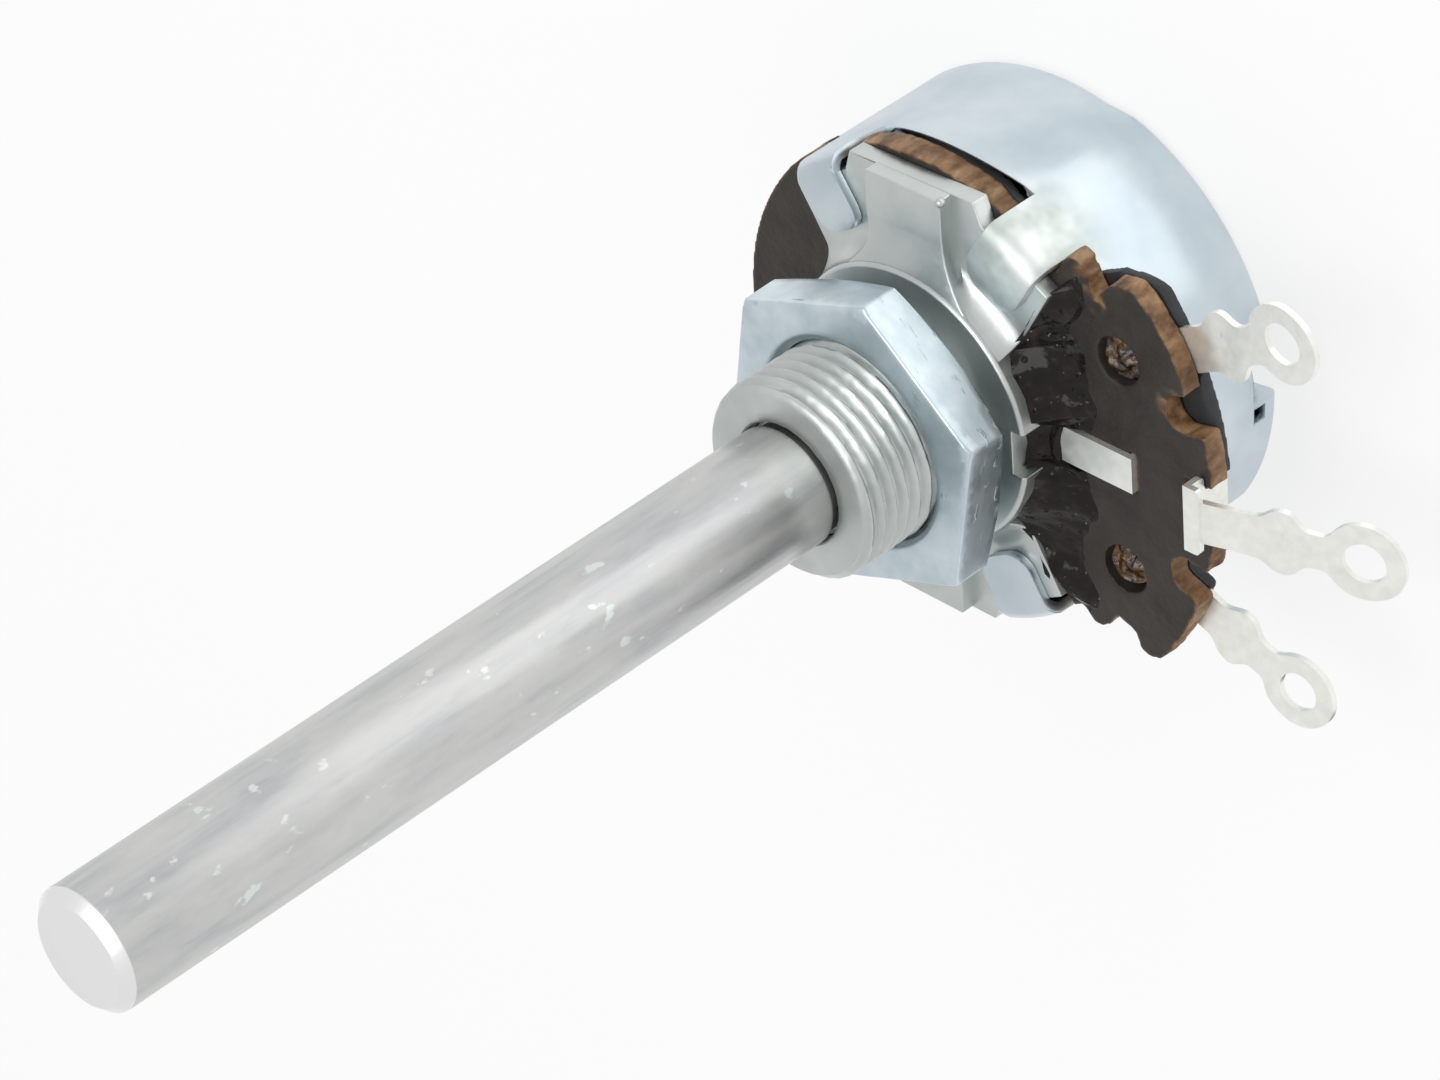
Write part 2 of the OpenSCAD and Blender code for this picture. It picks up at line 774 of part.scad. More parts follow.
// Insulating disc staked on the shaft's tail
module rotor_disc() {
    color("sienna") difference() {
        translate([0, 0, rotor_rear_z]) cylinder(r = rotor_r, h = rotor_t);
        flatted(tail_d, tail_flats, rotor_rear_z - 1, shoulder_z + 1);
        for (side = [-1, 1])
            translate([side * spring_rivet_r, 0, rotor_rear_z - 1])
                cylinder(d = spring_rivet_d, h = rotor_t + 2);
    }
}

// A spring finger from radius r_from of the ring, bent flat under the button at radius r_to
module finger(r_from, r_to, z_button) {
    way = sign(r_to - r_from) * button_d / 2;
    rotate([90, 0, 90]) translate([0, 0, -finger_w / 2]) linear_extrude(finger_w) polygon([
        [r_from, shoulder_z],
        [r_to - way, z_button - spring_t],
        [r_to + way, z_button - spring_t],
        [r_to + way, z_button],
        [r_to - way, z_button],
        [r_from, spring_front_z]
    ]);
}

// Contact spring: a ring with one finger to the track and one to the collector
module wiper_spring() {
    color("goldenrod") difference() {
        union() {
            ring(spring_outer_r, spring_outer_r - 1.1, shoulder_z, spring_front_z);
            for (side = [0, 180]) rotate([0, 0, side])
                translate([spring_inner_r, -1.1, shoulder_z])
                    cube([spring_outer_r - 0.5 - spring_inner_r, 2.2, spring_t]);
            finger(spring_outer_r - 0.6, track_contact_r, track_button_z);
            rotate([0, 0, 180]) finger(spring_outer_r - 0.6, collector_contact_r, collector_button_z);
        }
        for (side = [-1, 1])
            translate([side * spring_rivet_r, 0, shoulder_z - 1])
                cylinder(d = spring_rivet_d, h = 2);
    }
}

module track_button() {
    color("black") translate([0, track_contact_r, track_button_z])
        cylinder(d = button_d, h = button_h);
}

module collector_button() {
    color("black") translate([0, -collector_contact_r, collector_button_z])
        cylinder(d = button_d, h = button_h);
}

// Two tubular rivets that hold the spring on the disc
module spring_rivets() {
    color("silver") for (side = [-1, 1])
        translate([side * spring_rivet_r, 0, 0]) {
            translate([0, 0, rotor_rear_z]) cylinder(d = spring_rivet_d, h = rotor_t + spring_t);
            translate([0, 0, spring_front_z]) cylinder(d = spring_rivet_d + 0.7, h = 0.3);
        }
}

// Steel plate behind the disc, with the wide arm that meets the can's stop
module stop_plate() {
    color("silver") difference() {
        union() {
            translate([0, 0, stop_plate_rear_z]) cylinder(r = spring_rivet_r + 0.5, h = stop_plate_t);
            rotate([0, 0, arm_rest_angle - arm_half]) {
                rotate_extrude(angle = 2 * arm_half) translate([spring_rivet_r - 1, stop_plate_rear_z])
                    square([arm_flange_r - spring_rivet_r + 1, stop_plate_t]);
                rotate_extrude(angle = 2 * arm_half)
                    translate([arm_flange_r - arm_flange_t, rotor_rear_z - arm_flange_h])
                        square([arm_flange_t, arm_flange_h]);
            }
        }
        flatted(tail_d, tail_flats, stop_plate_rear_z - 1, rotor_rear_z + 1);
    }
}

shaft();
bush_plate();
mounting_nut();
thrust_washer();
retaining_clip();
terminal_board();
element_board();
resistance_track();
collector_ring();
terminal_right();
terminal_left();
terminal_centre();
rivet_right();
rivet_left();
terminal_glue();
sealing_lacquer();
can();
rotor_disc();
wiper_spring();
track_button();
collector_button();
spring_rivets();
stop_plate();
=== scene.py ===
# %% [markdown]
# # A rotary potentiometer with a long shaft
# This lesson dresses a small electronic part whose solids were drawn before, in millimetres, in
# another program. They are loaded here as a frame. Each visible piece then gets the finish that the
# real one has, and a few pieces get a finer shape than the plain solid.

# %% Load the frame
import math

import bmesh
import bpy
from mathutils import Matrix, Vector, noise


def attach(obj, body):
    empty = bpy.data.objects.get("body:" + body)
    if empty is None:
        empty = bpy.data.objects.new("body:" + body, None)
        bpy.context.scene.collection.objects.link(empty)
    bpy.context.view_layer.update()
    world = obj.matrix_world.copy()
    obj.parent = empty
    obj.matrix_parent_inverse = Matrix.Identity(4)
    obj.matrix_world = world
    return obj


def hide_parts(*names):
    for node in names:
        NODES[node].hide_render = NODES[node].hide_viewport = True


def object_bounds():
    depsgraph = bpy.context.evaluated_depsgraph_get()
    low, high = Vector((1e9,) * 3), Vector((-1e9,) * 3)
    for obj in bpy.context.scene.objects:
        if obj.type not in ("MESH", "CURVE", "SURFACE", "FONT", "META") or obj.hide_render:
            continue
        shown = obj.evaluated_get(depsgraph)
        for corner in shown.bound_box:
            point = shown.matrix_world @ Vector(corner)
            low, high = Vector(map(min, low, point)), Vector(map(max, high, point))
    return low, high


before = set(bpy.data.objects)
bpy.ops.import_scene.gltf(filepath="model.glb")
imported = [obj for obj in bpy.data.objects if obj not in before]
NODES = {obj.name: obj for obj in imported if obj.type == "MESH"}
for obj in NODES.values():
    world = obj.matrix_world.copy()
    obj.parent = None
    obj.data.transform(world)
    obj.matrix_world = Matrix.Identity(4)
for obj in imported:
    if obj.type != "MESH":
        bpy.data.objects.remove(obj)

cad_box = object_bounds()
MM = 0.001


def in_mm(box):
    """A box's two corners in mm, for printing."""
    return [tuple(round(v / MM, 2) for v in corner) for corner in box]


print("CAD box in mm:", in_mm(cad_box))

# %% [markdown]
# ## The camera
# The photograph is a close view with a long lens, from in front of the lugs and a little above. The
# camera's place and its axes were worked out from outlines whose sizes are known, such as the shaft's
# and the can's. The picture is rolled, so the camera gets its own right and up directions here,
# and isn't aimed with a constraint.

# %% Camera
CAMERA_AT = Vector((163.857, -163.744, 163.761)) * MM
CAMERA_FORWARD = Vector((-0.5935, 0.5910, -0.5464)).normalized()
CAMERA_UP = Vector((0.8019, 0.3756, -0.4647))
LENS, SENSOR = 156.6, 36.0

camera_right = CAMERA_FORWARD.cross(CAMERA_UP).normalized()
camera_up = camera_right.cross(CAMERA_FORWARD)
camera_data = bpy.data.cameras.new("camera")
camera_data.lens, camera_data.sensor_width = LENS, SENSOR
camera_data.clip_start, camera_data.clip_end = 0.01, 10
camera = bpy.data.objects.new("camera", camera_data)
bpy.context.scene.collection.objects.link(camera)
camera.matrix_world = Matrix.Translation(CAMERA_AT) @ Matrix(
    (camera_right, camera_up, -CAMERA_FORWARD)).transposed().to_4x4()
bpy.context.scene.camera = camera
print("camera is", round(CAMERA_AT.length / MM), "mm from the part")

# %% [markdown]
# ## Helpers for materials
# Colours are written as the sRGB hex values that a painter or a web page would use, and one function
# turns them to the linear values that the renderer works in. A second one adds a shader node with its
# settings and links in one call, because a node tree written out line by line is hard to read. The
# finishes name their nodes as Blender does, so that each can be looked up in its manual.

# %% Colours
def linear(hex_colour):
    """Linear RGBA of an sRGB hex colour such as "#B4B6B8"."""
    parts = [int(hex_colour[i:i + 2], 16) / 255 for i in (1, 3, 5)]
    return tuple(c / 12.92 if c <= 0.04045 else ((c + 0.055) / 1.055) ** 2.4 for c in parts) + (1,)


print("#808080 is", round(linear("#808080")[0], 3), "of white in linear light")

# %% Nodes and materials
# A Mix node has sockets of the same name for each kind of data, so those for colour go by number
COLOUR_A, COLOUR_B, MIXED = 6, 7, 2


def feed(node, inputs):
    """Sets a node's inputs, each to a value, a hex colour or another node's output."""
    for name, value in inputs.items():
        if isinstance(value, bpy.types.NodeSocket):
            node.id_data.links.new(value, node.inputs[name])
        else:
            node.inputs[name].default_value = linear(value) if isinstance(value, str) else value


def add(tree, kind, inputs, output=0, stops=(), **settings):
    """Adds a shader node and gives its output; stops are a colour ramp's positions and colours."""
    made = tree.nodes.new("ShaderNode" + kind)
    for name, value in settings.items():
        setattr(made, name, value)
    feed(made, inputs)
    if stops:
        elements = made.color_ramp.elements
        while len(elements) < len(stops):
            elements.new(0.5)
        for element, (position, colour) in zip(elements, stops):
            element.position, element.color = position, linear(colour)
    return made.outputs[output]


def material(name, **constants):
    """A new material: its tree, its Principled shader, and the Object coordinates."""
    made = bpy.data.materials.new(name)
    made.use_nodes = True
    tree = made.node_tree
    shader = tree.nodes["Principled BSDF"]
    feed(shader, {key.replace("_", " "): value for key, value in constants.items()})
    print("finish:", name)
    return made, tree, shader, add(tree, "TexCoord", {}, "Object")

# %% [markdown]
# ## The shaft's metal
# The shaft is drawn bar, turned to length. Drawing leaves soft streaks along it, and handling leaves
# cloudy patches and pale nicks. A photographed texture would need the shaft unwrapped and would show
# a seam. Noise on the object's own coordinates has no seam, so each of the three is noise that is
# drawn out along the axis by its own factor. The turned end face is painted near white, a painted
# highlight for the light that it catches from above.

# %% Drawn bar, satin
END_FACE_FROM, END_FACE_TO = 49.45 * MM, 49.5 * MM
shaft_metal, tree, shader, place = material("drawn_bar_satin", Metallic=1.0)
along = add(tree, "Mapping", {"Vector": place, "Scale": (1, 1, 0.06)})
streaks = add(tree, "TexNoise", {"Vector": along, "Scale": 1 / (0.5 * MM), "Detail": 4})
along = add(tree, "Mapping", {"Vector": place, "Scale": (1, 1, 0.3)})
patches = add(tree, "TexNoise", {"Vector": along, "Scale": 1 / (1.6 * MM), "Detail": 4,
                                 "Roughness": 0.6})
along = add(tree, "Mapping", {"Vector": place, "Scale": (1, 1, 0.6)})
nicks = add(tree, "TexNoise", {"Vector": along, "Scale": 1 / (0.9 * MM), "Detail": 4})

# %% Colour of the bar
tone = add(tree, "ValToRGB", {"Fac": streaks},
           stops=[(0.3, "#B3B4B6"), (0.52, "#C1C2C3"), (0.72, "#CDCDCC")])
share = add(tree, "MapRange", {"Value": patches, "From Min": 0.35, "From Max": 0.65})
tone = add(tree, "Mix", {"Factor": share, COLOUR_A: tone, COLOUR_B: "#D0D0CE"}, MIXED,
           data_type="RGBA")
share = add(tree, "MapRange", {"Value": nicks, "From Min": 0.655, "From Max": 0.70})
tone = add(tree, "Mix", {"Factor": share, COLOUR_A: tone, COLOUR_B: "#DCE3E0"}, MIXED,
           data_type="RGBA")
# The end face, the shaft's top, is painted near white: a painted highlight for the light it catches
# from above
height = add(tree, "SeparateXYZ", {"Vector": place}, "Z")
share = add(tree, "MapRange", {"Value": height, "From Min": END_FACE_FROM, "From Max": END_FACE_TO})
tone = add(tree, "Mix", {"Factor": share, COLOUR_A: tone, COLOUR_B: "#FBFBFC"}, MIXED,
           data_type="RGBA")
rough = add(tree, "MapRange", {"Value": patches, "To Min": 0.26, "To Max": 0.44})
normal = add(tree, "Bump", {"Height": streaks, "Distance": 0.004 * MM})
normal = add(tree, "Bump", {"Height": patches, "Distance": 0.03 * MM, "Normal": normal})
feed(shader, {"Base Color": tone, "Roughness": rough, "Normal": normal})

# %% [markdown]
# ## Die-cast zinc
# The bush, boss and plate are one casting. It comes out of the die dull and even, with a slightly
# cloudy grey and a faint skin like orange peel, so fine noise drives both the roughness and the bump.

# %% Die-cast zinc
cast_zinc, tree, shader, place = material("die_cast_zinc", Metallic=1.0)
skin = add(tree, "TexNoise", {"Vector": place, "Scale": 1 / (0.5 * MM), "Detail": 4})
cloud = add(tree, "TexNoise", {"Vector": place, "Scale": 1 / (3.0 * MM), "Detail": 3})
feed(shader, {
    "Base Color": add(tree, "ValToRGB", {"Fac": cloud}, stops=[(0.3, "#C3C9C7"), (0.7, "#D6DAD8")]),
    "Roughness": add(tree, "MapRange", {"Value": skin, "To Min": 0.33, "To Max": 0.46}),
    "Normal": add(tree, "Bump", {"Height": skin, "Distance": 0.01 * MM})})

# %% [markdown]
# ## Blue-bright zinc plating
# The nut and the can are steel with bright zinc plating, which has a cold blue cast. The nut keeps
# the marks of the tool and a few scuffs. The can's sheet is smooth, except on the bulge of the second
# tab, where it is rougher and carries pale blotches that are a painted highlight for the lamp's
# glare.
# A painted mask could say where that is, but the distance to one point says it in a line.

# %% Zinc plating on the nut
nut_zinc, tree, shader, place = material("bright_zinc_nut", Metallic=1.0)
around = add(tree, "Mapping", {"Vector": place, "Scale": (0.25, 0.25, 1)})
marks = add(tree, "TexNoise", {"Vector": around, "Scale": 1 / (0.3 * MM), "Detail": 5})
cloud = add(tree, "TexNoise", {"Vector": place, "Scale": 1 / (1.6 * MM), "Detail": 4})
around = add(tree, "Mapping", {"Vector": place, "Scale": (0.3, 0.3, 1)})
scuffs = add(tree, "TexNoise", {"Vector": around, "Scale": 1 / (0.5 * MM), "Detail": 6,
                                "Roughness": 0.6})
scuffs = add(tree, "MapRange", {"Value": scuffs, "From Min": 0.62, "From Max": 0.70})
plated = add(tree, "ValToRGB", {"Fac": cloud}, stops=[(0.3, "#C6D5DC"), (0.7, "#DFEAEF")])
tone = add(tree, "Mix", {"Factor": scuffs, COLOUR_A: plated, COLOUR_B: "#BAC8CF"}, MIXED,
           data_type="RGBA")
rough = add(tree, "MapRange", {"Value": marks, "To Min": 0.3, "To Max": 0.46})
normal = add(tree, "Bump", {"Height": marks, "Distance": 0.004 * MM})
normal = add(tree, "Bump", {"Height": scuffs, "Distance": 0.02 * MM, "Normal": normal})
feed(shader, {"Base Color": tone, "Roughness": rough, "Normal": normal})

# %% Zinc plating on the can
# Around this point, on the second tab's bulge: pale blotches that are a painted highlight for the
# lamp's glare, and a rougher sheet
GLARE_AT = Vector((10.3, -6.1, -1.8)) * MM
GLARE_R, GLARE_CORE_R = 4.6 * MM, 2.2 * MM
can_zinc, tree, shader, place = material("bright_zinc_sheet", Metallic=1.0)
along = add(tree, "Mapping", {"Vector": place, "Scale": (1, 1, 0.08)})
drawing = add(tree, "TexNoise", {"Vector": along, "Scale": 1 / (0.4 * MM), "Detail": 3})
cloud = add(tree, "TexNoise", {"Vector": place, "Scale": 1 / (3.5 * MM), "Detail": 4})
plated = add(tree, "ValToRGB", {"Fac": cloud}, stops=[(0.3, "#C2CFD7"), (0.7, "#D8E2E7")])
away = add(tree, "VectorMath", {0: place, 1: GLARE_AT}, "Value", operation="DISTANCE")
glare_and_dull = add(tree, "MapRange", {"Value": away, "From Min": GLARE_R,
                                  "From Max": GLARE_CORE_R})
# Pale blotches of the painted glare on the tab
glare_blotch = add(tree, "TexNoise", {"Vector": place, "Scale": 1 / (1.7 * MM), "Detail": 2})
glare_blotch = add(tree, "ValToRGB", {"Fac": glare_blotch}, stops=[(0.36, "#C9D2CE"), (0.64, "#ECF0EE")])
tone = add(tree, "Mix", {"Factor": glare_and_dull, COLOUR_A: plated, COLOUR_B: glare_blotch}, MIXED,
           data_type="RGBA")
dull = add(tree, "Math", {0: glare_and_dull, 1: 0.22}, operation="MULTIPLY")
rough = add(tree, "MapRange", {"Value": cloud, "To Min": 0.28, "To Max": 0.38})
rough = add(tree, "Math", {0: rough, 1: dull}, operation="ADD")
normal = add(tree, "Bump", {"Height": drawing, "Distance": 0.002 * MM})
feed(shader, {"Base Color": tone, "Roughness": rough, "Normal": normal})

# %% [markdown]
# ## Tinned lugs
# The lugs are punched from brass strip and dipped in tin, so they are silver-white and a little
# uneven. Their thin skin of oxide scatters light like a pale paint, so the tin is only part metallic.
# One noise gives the tone, the roughness and the bump, because on real tin they go together.

# %% Tinned strip
tinned, tree, shader, place = material("tinned_strip", Metallic=0.7)
cloud = add(tree, "TexNoise", {"Vector": place, "Scale": 1 / (0.7 * MM), "Detail": 4})
feed(shader, {
    "Base Color": add(tree, "ValToRGB", {"Fac": cloud}, stops=[(0.25, "#EDEDE7"), (0.7, "#FCFCF7")]),
    "Roughness": add(tree, "MapRange", {"Value": cloud, "To Min": 0.25, "To Max": 0.42}),
    "Normal": add(tree, "Bump", {"Height": cloud, "Distance": 0.015 * MM})})

# %% [markdown]
# ## Phenolic paper laminate
# Both boards are paper soaked in phenolic resin and pressed. The pressed faces are dark and nearly
# smooth. Where the punch tore the paper the stock is brown, rough and fibrous. A texture could be
# painted for this, but the script knows where the sides are, so the board carries an attribute called
# worn, which says how much of the raw stock shows. The rear board is coated with carbon for its
# track, so it is a bluer grey.

# %% Pressed and torn laminate
board_face, tree, shader, place = material("phenolic_paper_laminate", Specular_IOR_Level=0.25)
cloud = add(tree, "TexNoise", {"Vector": place, "Scale": 1 / (2.5 * MM), "Detail": 5})
pressed = add(tree, "ValToRGB", {"Fac": cloud}, stops=[(0.3, "#2B2723"), (0.7, "#3C3732")])
through = add(tree, "Mapping", {"Vector": place, "Scale": (1, 1, 0.5)})
layers = add(tree, "TexNoise", {"Vector": through, "Scale": 1 / (0.7 * MM), "Detail": 4,
                                "Roughness": 0.55})
torn = add(tree, "ValToRGB", {"Fac": layers}, stops=[(0.28, "#47331F"), (0.42, "#7A5A3D"),
                                                     (0.56, "#9C7A58"), (0.74, "#C2A27B")])
share = add(tree, "MapRange", {"Value": cloud, "To Min": -0.6, "To Max": 0.9})
torn = add(tree, "Mix", {"Factor": share, COLOUR_A: torn, COLOUR_B: "#4F3A2B"}, MIXED,
           data_type="RGBA")
worn = add(tree, "Attribute", {}, "Fac", attribute_name="worn")
tone = add(tree, "Mix", {"Factor": worn, COLOUR_A: pressed, COLOUR_B: torn}, MIXED,
           data_type="RGBA")
rough = add(tree, "MapRange", {"Value": cloud, "To Min": 0.35, "To Max": 0.55})
lengthwise = add(tree, "Mapping", {"Vector": place, "Scale": (1, 0.15, 1)})
fibre = add(tree, "TexNoise", {"Vector": lengthwise, "Scale": 1 / (0.25 * MM), "Detail": 4})
normal = add(tree, "Bump", {"Height": fibre, "Distance": 0.006 * MM})
normal = add(tree, "Bump", {"Height": layers, "Distance": 0.08 * MM, "Normal": normal})
feed(shader, {"Base Color": tone, "Roughness": rough, "Normal": normal})

# %% Laminate of the board that carries the track
element_face, tree, shader, place = material("carbon_coated_laminate", Roughness=0.5,
                                             Specular_IOR_Level=0.3)
cloud = add(tree, "TexNoise", {"Vector": place, "Scale": 1 / (2.0 * MM), "Detail": 5})
feed(shader, {
    "Base Color": add(tree, "ValToRGB", {"Fac": cloud}, stops=[(0.3, "#2B2D2F"), (0.7, "#3D4042")]),
    "Normal": add(tree, "Bump", {"Height": cloud, "Distance": 0.01 * MM})})

# %% [markdown]
# ## Lacquer and glue
# A black asphalt-like lacquer seals the gap between the board and the casting, and drops of amber
# glue hold the outer lugs. Both are glossy, and both set with a wrinkled, lumpy surface. The small
# beads on the lacquer are the cells of a Voronoi pattern, used as a bump, because modelled ones would
# take thousands of faces. Pale specks on it are painted glints, small highlights on its ridges.

# %% Lacquer
lacquer, tree, shader, place = material("black_sealing_lacquer", Roughness=0.14,
                                        Specular_IOR_Level=0.22)
wrinkle = add(tree, "TexNoise", {"Vector": place, "Scale": 1 / (0.6 * MM), "Detail": 4})
pitch = add(tree, "ValToRGB", {"Fac": wrinkle},
            stops=[(0.3, "#14110F"), (0.6, "#1E1A17"), (0.75, "#33261C")])
# Pale specks: painted glints, small highlights on the lacquer's ridges
painted_glints = add(tree, "TexNoise", {"Vector": place, "Scale": 1 / (0.4 * MM), "Detail": 2})
painted_glints = add(tree, "MapRange", {"Value": painted_glints, "From Min": 0.72, "From Max": 0.77})
tone = add(tree, "Mix", {"Factor": painted_glints, COLOUR_A: pitch, COLOUR_B: "#8F8C86"}, MIXED,
           data_type="RGBA")
beads = add(tree, "TexVoronoi", {"Vector": place, "Scale": 1 / (0.55 * MM)}, "Distance")
beads = add(tree, "MapRange", {"Value": beads, "From Min": 0.3, "From Max": 0.0})
normal = add(tree, "Bump", {"Height": wrinkle, "Distance": 0.03 * MM})
normal = add(tree, "Bump", {"Height": beads, "Distance": 0.05 * MM, "Normal": normal})
feed(shader, {"Base Color": tone, "Normal": normal})

# %% Amber glue
amber, tree, shader, place = material("amber_glue", Roughness=0.1, Coat_Weight=0.4)
lump = add(tree, "TexNoise", {"Vector": place, "Scale": 1 / (0.45 * MM), "Detail": 4})
tone = add(tree, "ValToRGB", {"Fac": lump},
           stops=[(0.38, "#1C1109"), (0.54, "#533717"), (0.74, "#A8844A")])
normal = add(tree, "Bump", {"Height": lump, "Distance": 0.15 * MM})
feed(shader, {"Base Color": tone, "Normal": normal})

# %% [markdown]
# ## What lies inside
# The mechanism is hidden by the can, but a poor finish there would show as soon as someone opened
# the model, so each inner piece gets the look of its own stock. One function makes them all, because
# they differ only in colour, gloss and grain.

# %% Inner finishes
def inner(name, metallic, dark, light, least_rough, rough_range, grain_mm=0.8):
    """A finish whose colour runs in clouds from dark to light, with a faint relief."""
    made, tree, shader, place = material(name, Metallic=metallic)
    detail, relief_mm = (4, 0.006) if metallic else (5, 0.01)
    cloud = add(tree, "TexNoise", {"Vector": place, "Scale": 1 / (grain_mm * MM),
                                   "Detail": detail})
    feed(shader, {
        "Base Color": add(tree, "ValToRGB", {"Fac": cloud}, stops=[(0.3, dark), (0.7, light)]),
        "Roughness": add(tree, "MapRange", {"Value": cloud, "To Min": least_rough,
                                            "To Max": least_rough + rough_range}),
        "Normal": add(tree, "Bump", {"Height": cloud, "Distance": relief_mm * MM})})
    return made


brass = inner("rolled_brass", 1.0, "#B8924E", "#D3B06C", 0.25, 0.15)
bronze = inner("phosphor_bronze", 1.0, "#A87446", "#C9935F", 0.28, 0.15)
steel = inner("rolled_steel", 1.0, "#8E9194", "#A9ACAE", 0.3, 0.15)
carbon = inner("moulded_carbon", 0.0, "#151515", "#2A2A2A", 0.5, 0.2)
fibre_stock = inner("vulcanised_fibre", 0.0, "#8C6A45", "#A9865C", 0.6, 0.2)
rotor_stock = inner("brown_phenolic", 0.0, "#4A2E1C", "#6B4429", 0.35, 0.2, grain_mm=1.5)

# %% [markdown]
# ## Helpers for shapes
# A drawn node arrives as loose triangles. A copy of it makes a good start for a finer piece once its
# doubles are merged and its flat faces are made one, because then a bevel finds real edges to round.

# %% Selecting and copying
def only(thing, mode="OBJECT"):
    """Makes thing the one selected object, in that mode."""
    if bpy.context.object and bpy.context.object.mode != "OBJECT":
        bpy.ops.object.mode_set(mode="OBJECT")
    bpy.ops.object.select_all(action="DESELECT")
    thing.select_set(True)
    bpy.context.view_layer.objects.active = thing
    if mode != "OBJECT":
        bpy.ops.object.mode_set(mode=mode)


def copied(node, name):
    """A merged copy of a CAD node's mesh, with each flat face made one."""
    made = bpy.data.objects.new(name, NODES[node].data.copy())
    bpy.context.scene.collection.objects.link(made)
    only(made, "EDIT")
    bpy.ops.mesh.select_all(action="SELECT")
    bpy.ops.mesh.remove_doubles(threshold=0.002 * MM)
    bpy.ops.mesh.customdata_custom_splitnormals_clear()
    bpy.ops.mesh.dissolve_limited(angle_limit=math.radians(0.6))
    bpy.ops.mesh.normals_make_consistent(inside=False)
    bpy.ops.object.mode_set(mode="OBJECT")
    return made

# %% Rounding
def applied(thing, kind, **settings):
    """Adds a modifier with its settings and applies it."""
    only(thing)
    modifier = thing.modifiers.new("step", kind)
    for name, value in settings.items():
        setattr(modifier, name, value)
    bpy.ops.object.modifier_apply(modifier="step")


def weighted_bevel(thing, chosen, angle, **settings):
    """Bevels the edges that are chosen(edge) and sharper than angle in degrees."""
    only(thing)
    mesh = bmesh.new()
    mesh.from_mesh(thing.data)
    weight = mesh.edges.layers.float.new("bevel_weight_edge")
    for edge in mesh.edges:
        sharp = edge.is_manifold and edge.calc_face_angle() > math.radians(angle)
        if sharp and chosen(edge):
            edge[weight] = 1.0
    mesh.to_mesh(thing.data)
    mesh.free()
    applied(thing, "BEVEL", limit_method="WEIGHT", **settings)


def rounded(thing, width_mm, segments=2, angle=30):
    """Rounds every outward edge sharper than angle; hollows stay as they are."""
    weighted_bevel(thing, lambda edge: edge.is_convex, angle,
                   width=width_mm * MM, segments=segments, use_clamp_overlap=False)

# %% Moving and dressing
def moved(thing, shift):
    """Moves each vertex by shift(place, normal); the place and the shift are in mm."""
    normals = [v.normal.copy() for v in thing.data.vertices]
    for vertex, normal in zip(thing.data.vertices, normals):
        vertex.co += shift(vertex.co / MM, normal) * MM
    thing.data.update()


def dressed(thing, body, slot_name, finish, *nodes, smooth=40):
    """Gives a piece smooth shading, finish and body, and hides the nodes it stands for; slot_name is
    not used.
    """
    only(thing)
    bpy.ops.object.shade_smooth_by_angle(angle=math.radians(smooth))
    thing.data.materials.clear()
    thing.data.materials.append(finish)
    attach(thing, body)
    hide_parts(*nodes)
    print(thing.name, len(thing.data.polygons), "faces")

# %% Small shape functions
def waves(place, size_mm, seed=0.0):
    """Smooth noise from -1 to 1 whose lumps are about size_mm across; place is in mm."""
    return noise.noise(place / size_mm + Vector((seed, 1.7 * seed, -seed)))


def eased(value, low, high):
    """0 below low and 1 above high, with a soft start and end."""
    u = min(max((value - low) / (high - low), 0.0), 1.0)
    return u * u * (3 - 2 * u)


def polar_of(place):
    """Distance from the axis and direction in degrees."""
    return math.hypot(place.x, place.y), math.degrees(math.atan2(place.y, place.x))

# %% [markdown]
# ## The casting
# Bush, boss and plate are one die casting, so no edge on it is sharp. Its lower part is a copy of the
# drawn node that is cut off just above the boss, with its outward edges bevelled. The bush above it
# is a grid wrapped round the axis, because a real thread climbs as a helix. The two open rims are
# then bridged. On the real part the first tab and the plate's corner under it sit a little further
# round the axis than the drawing has them, so the same turn is given to both.

# %% How far the first tab sits round the axis
TAB_TURN = math.radians(4.2)


def set_round(place, low, high):
    """Step that turns the plate's corner and the first tab; it fades in from height low to high."""
    r, direction = polar_of(place)
    past_arm_middle = eased(direction, 2, 15)
    over_tab = 1 - 0.65 * eased(direction, 23, 36)
    past_tab = 1 - eased(direction, 37, 46)
    outside_boss = eased(r, 7.4, 9.6)
    share = past_arm_middle * over_tab * past_tab * outside_boss
    turn = TAB_TURN * share * eased(place.z, low, high)
    sideways = Vector((-place.y, place.x, 0))
    return sideways * math.sin(turn) - Vector((place.x, place.y, 0)) * (1 - math.cos(turn))

# %% Boss and plate
# The first cut is filled, so that the piece is closed while it is bevelled; the second is left open
ROUGH_CUT_Z, CUT_Z = 0.8, 0.35


def cut_above(thing, z_mm, use_fill):
    """Cuts off what lies above a height."""
    only(thing, "EDIT")
    bpy.ops.mesh.select_all(action="SELECT")
    bpy.ops.mesh.bisect(plane_co=(0, 0, z_mm * MM), plane_no=(0, 0, 1), clear_outer=True,
                        use_fill=use_fill)
    bpy.ops.object.mode_set(mode="OBJECT")


casting = copied("bush_plate", "cast_bush_and_plate")
cut_above(casting, ROUGH_CUT_Z, True)
rounded(casting, width_mm=0.07, segments=3, angle=24)
moved(casting, lambda place, normal: set_round(place, -2.6, -2.35))

# %% Joining
def joined_to(thing, other):
    """Joins the other piece to thing."""
    only(thing)
    other.select_set(True)
    bpy.ops.object.join()

# %% The drop of metal that the die left on the rib's corner
DROP_AT, DROP_R = (11.3, -1.98, -0.7), 0.24
only(casting)
bpy.ops.mesh.primitive_ico_sphere_add(subdivisions=3, radius=DROP_R * MM,
                                      location=Vector(DROP_AT) * MM)
drop = bpy.context.object
bpy.ops.object.transform_apply(location=True)
joined_to(casting, drop)
cut_above(casting, CUT_Z, False)
print("casting without its bush:", len(casting.data.polygons), "faces")

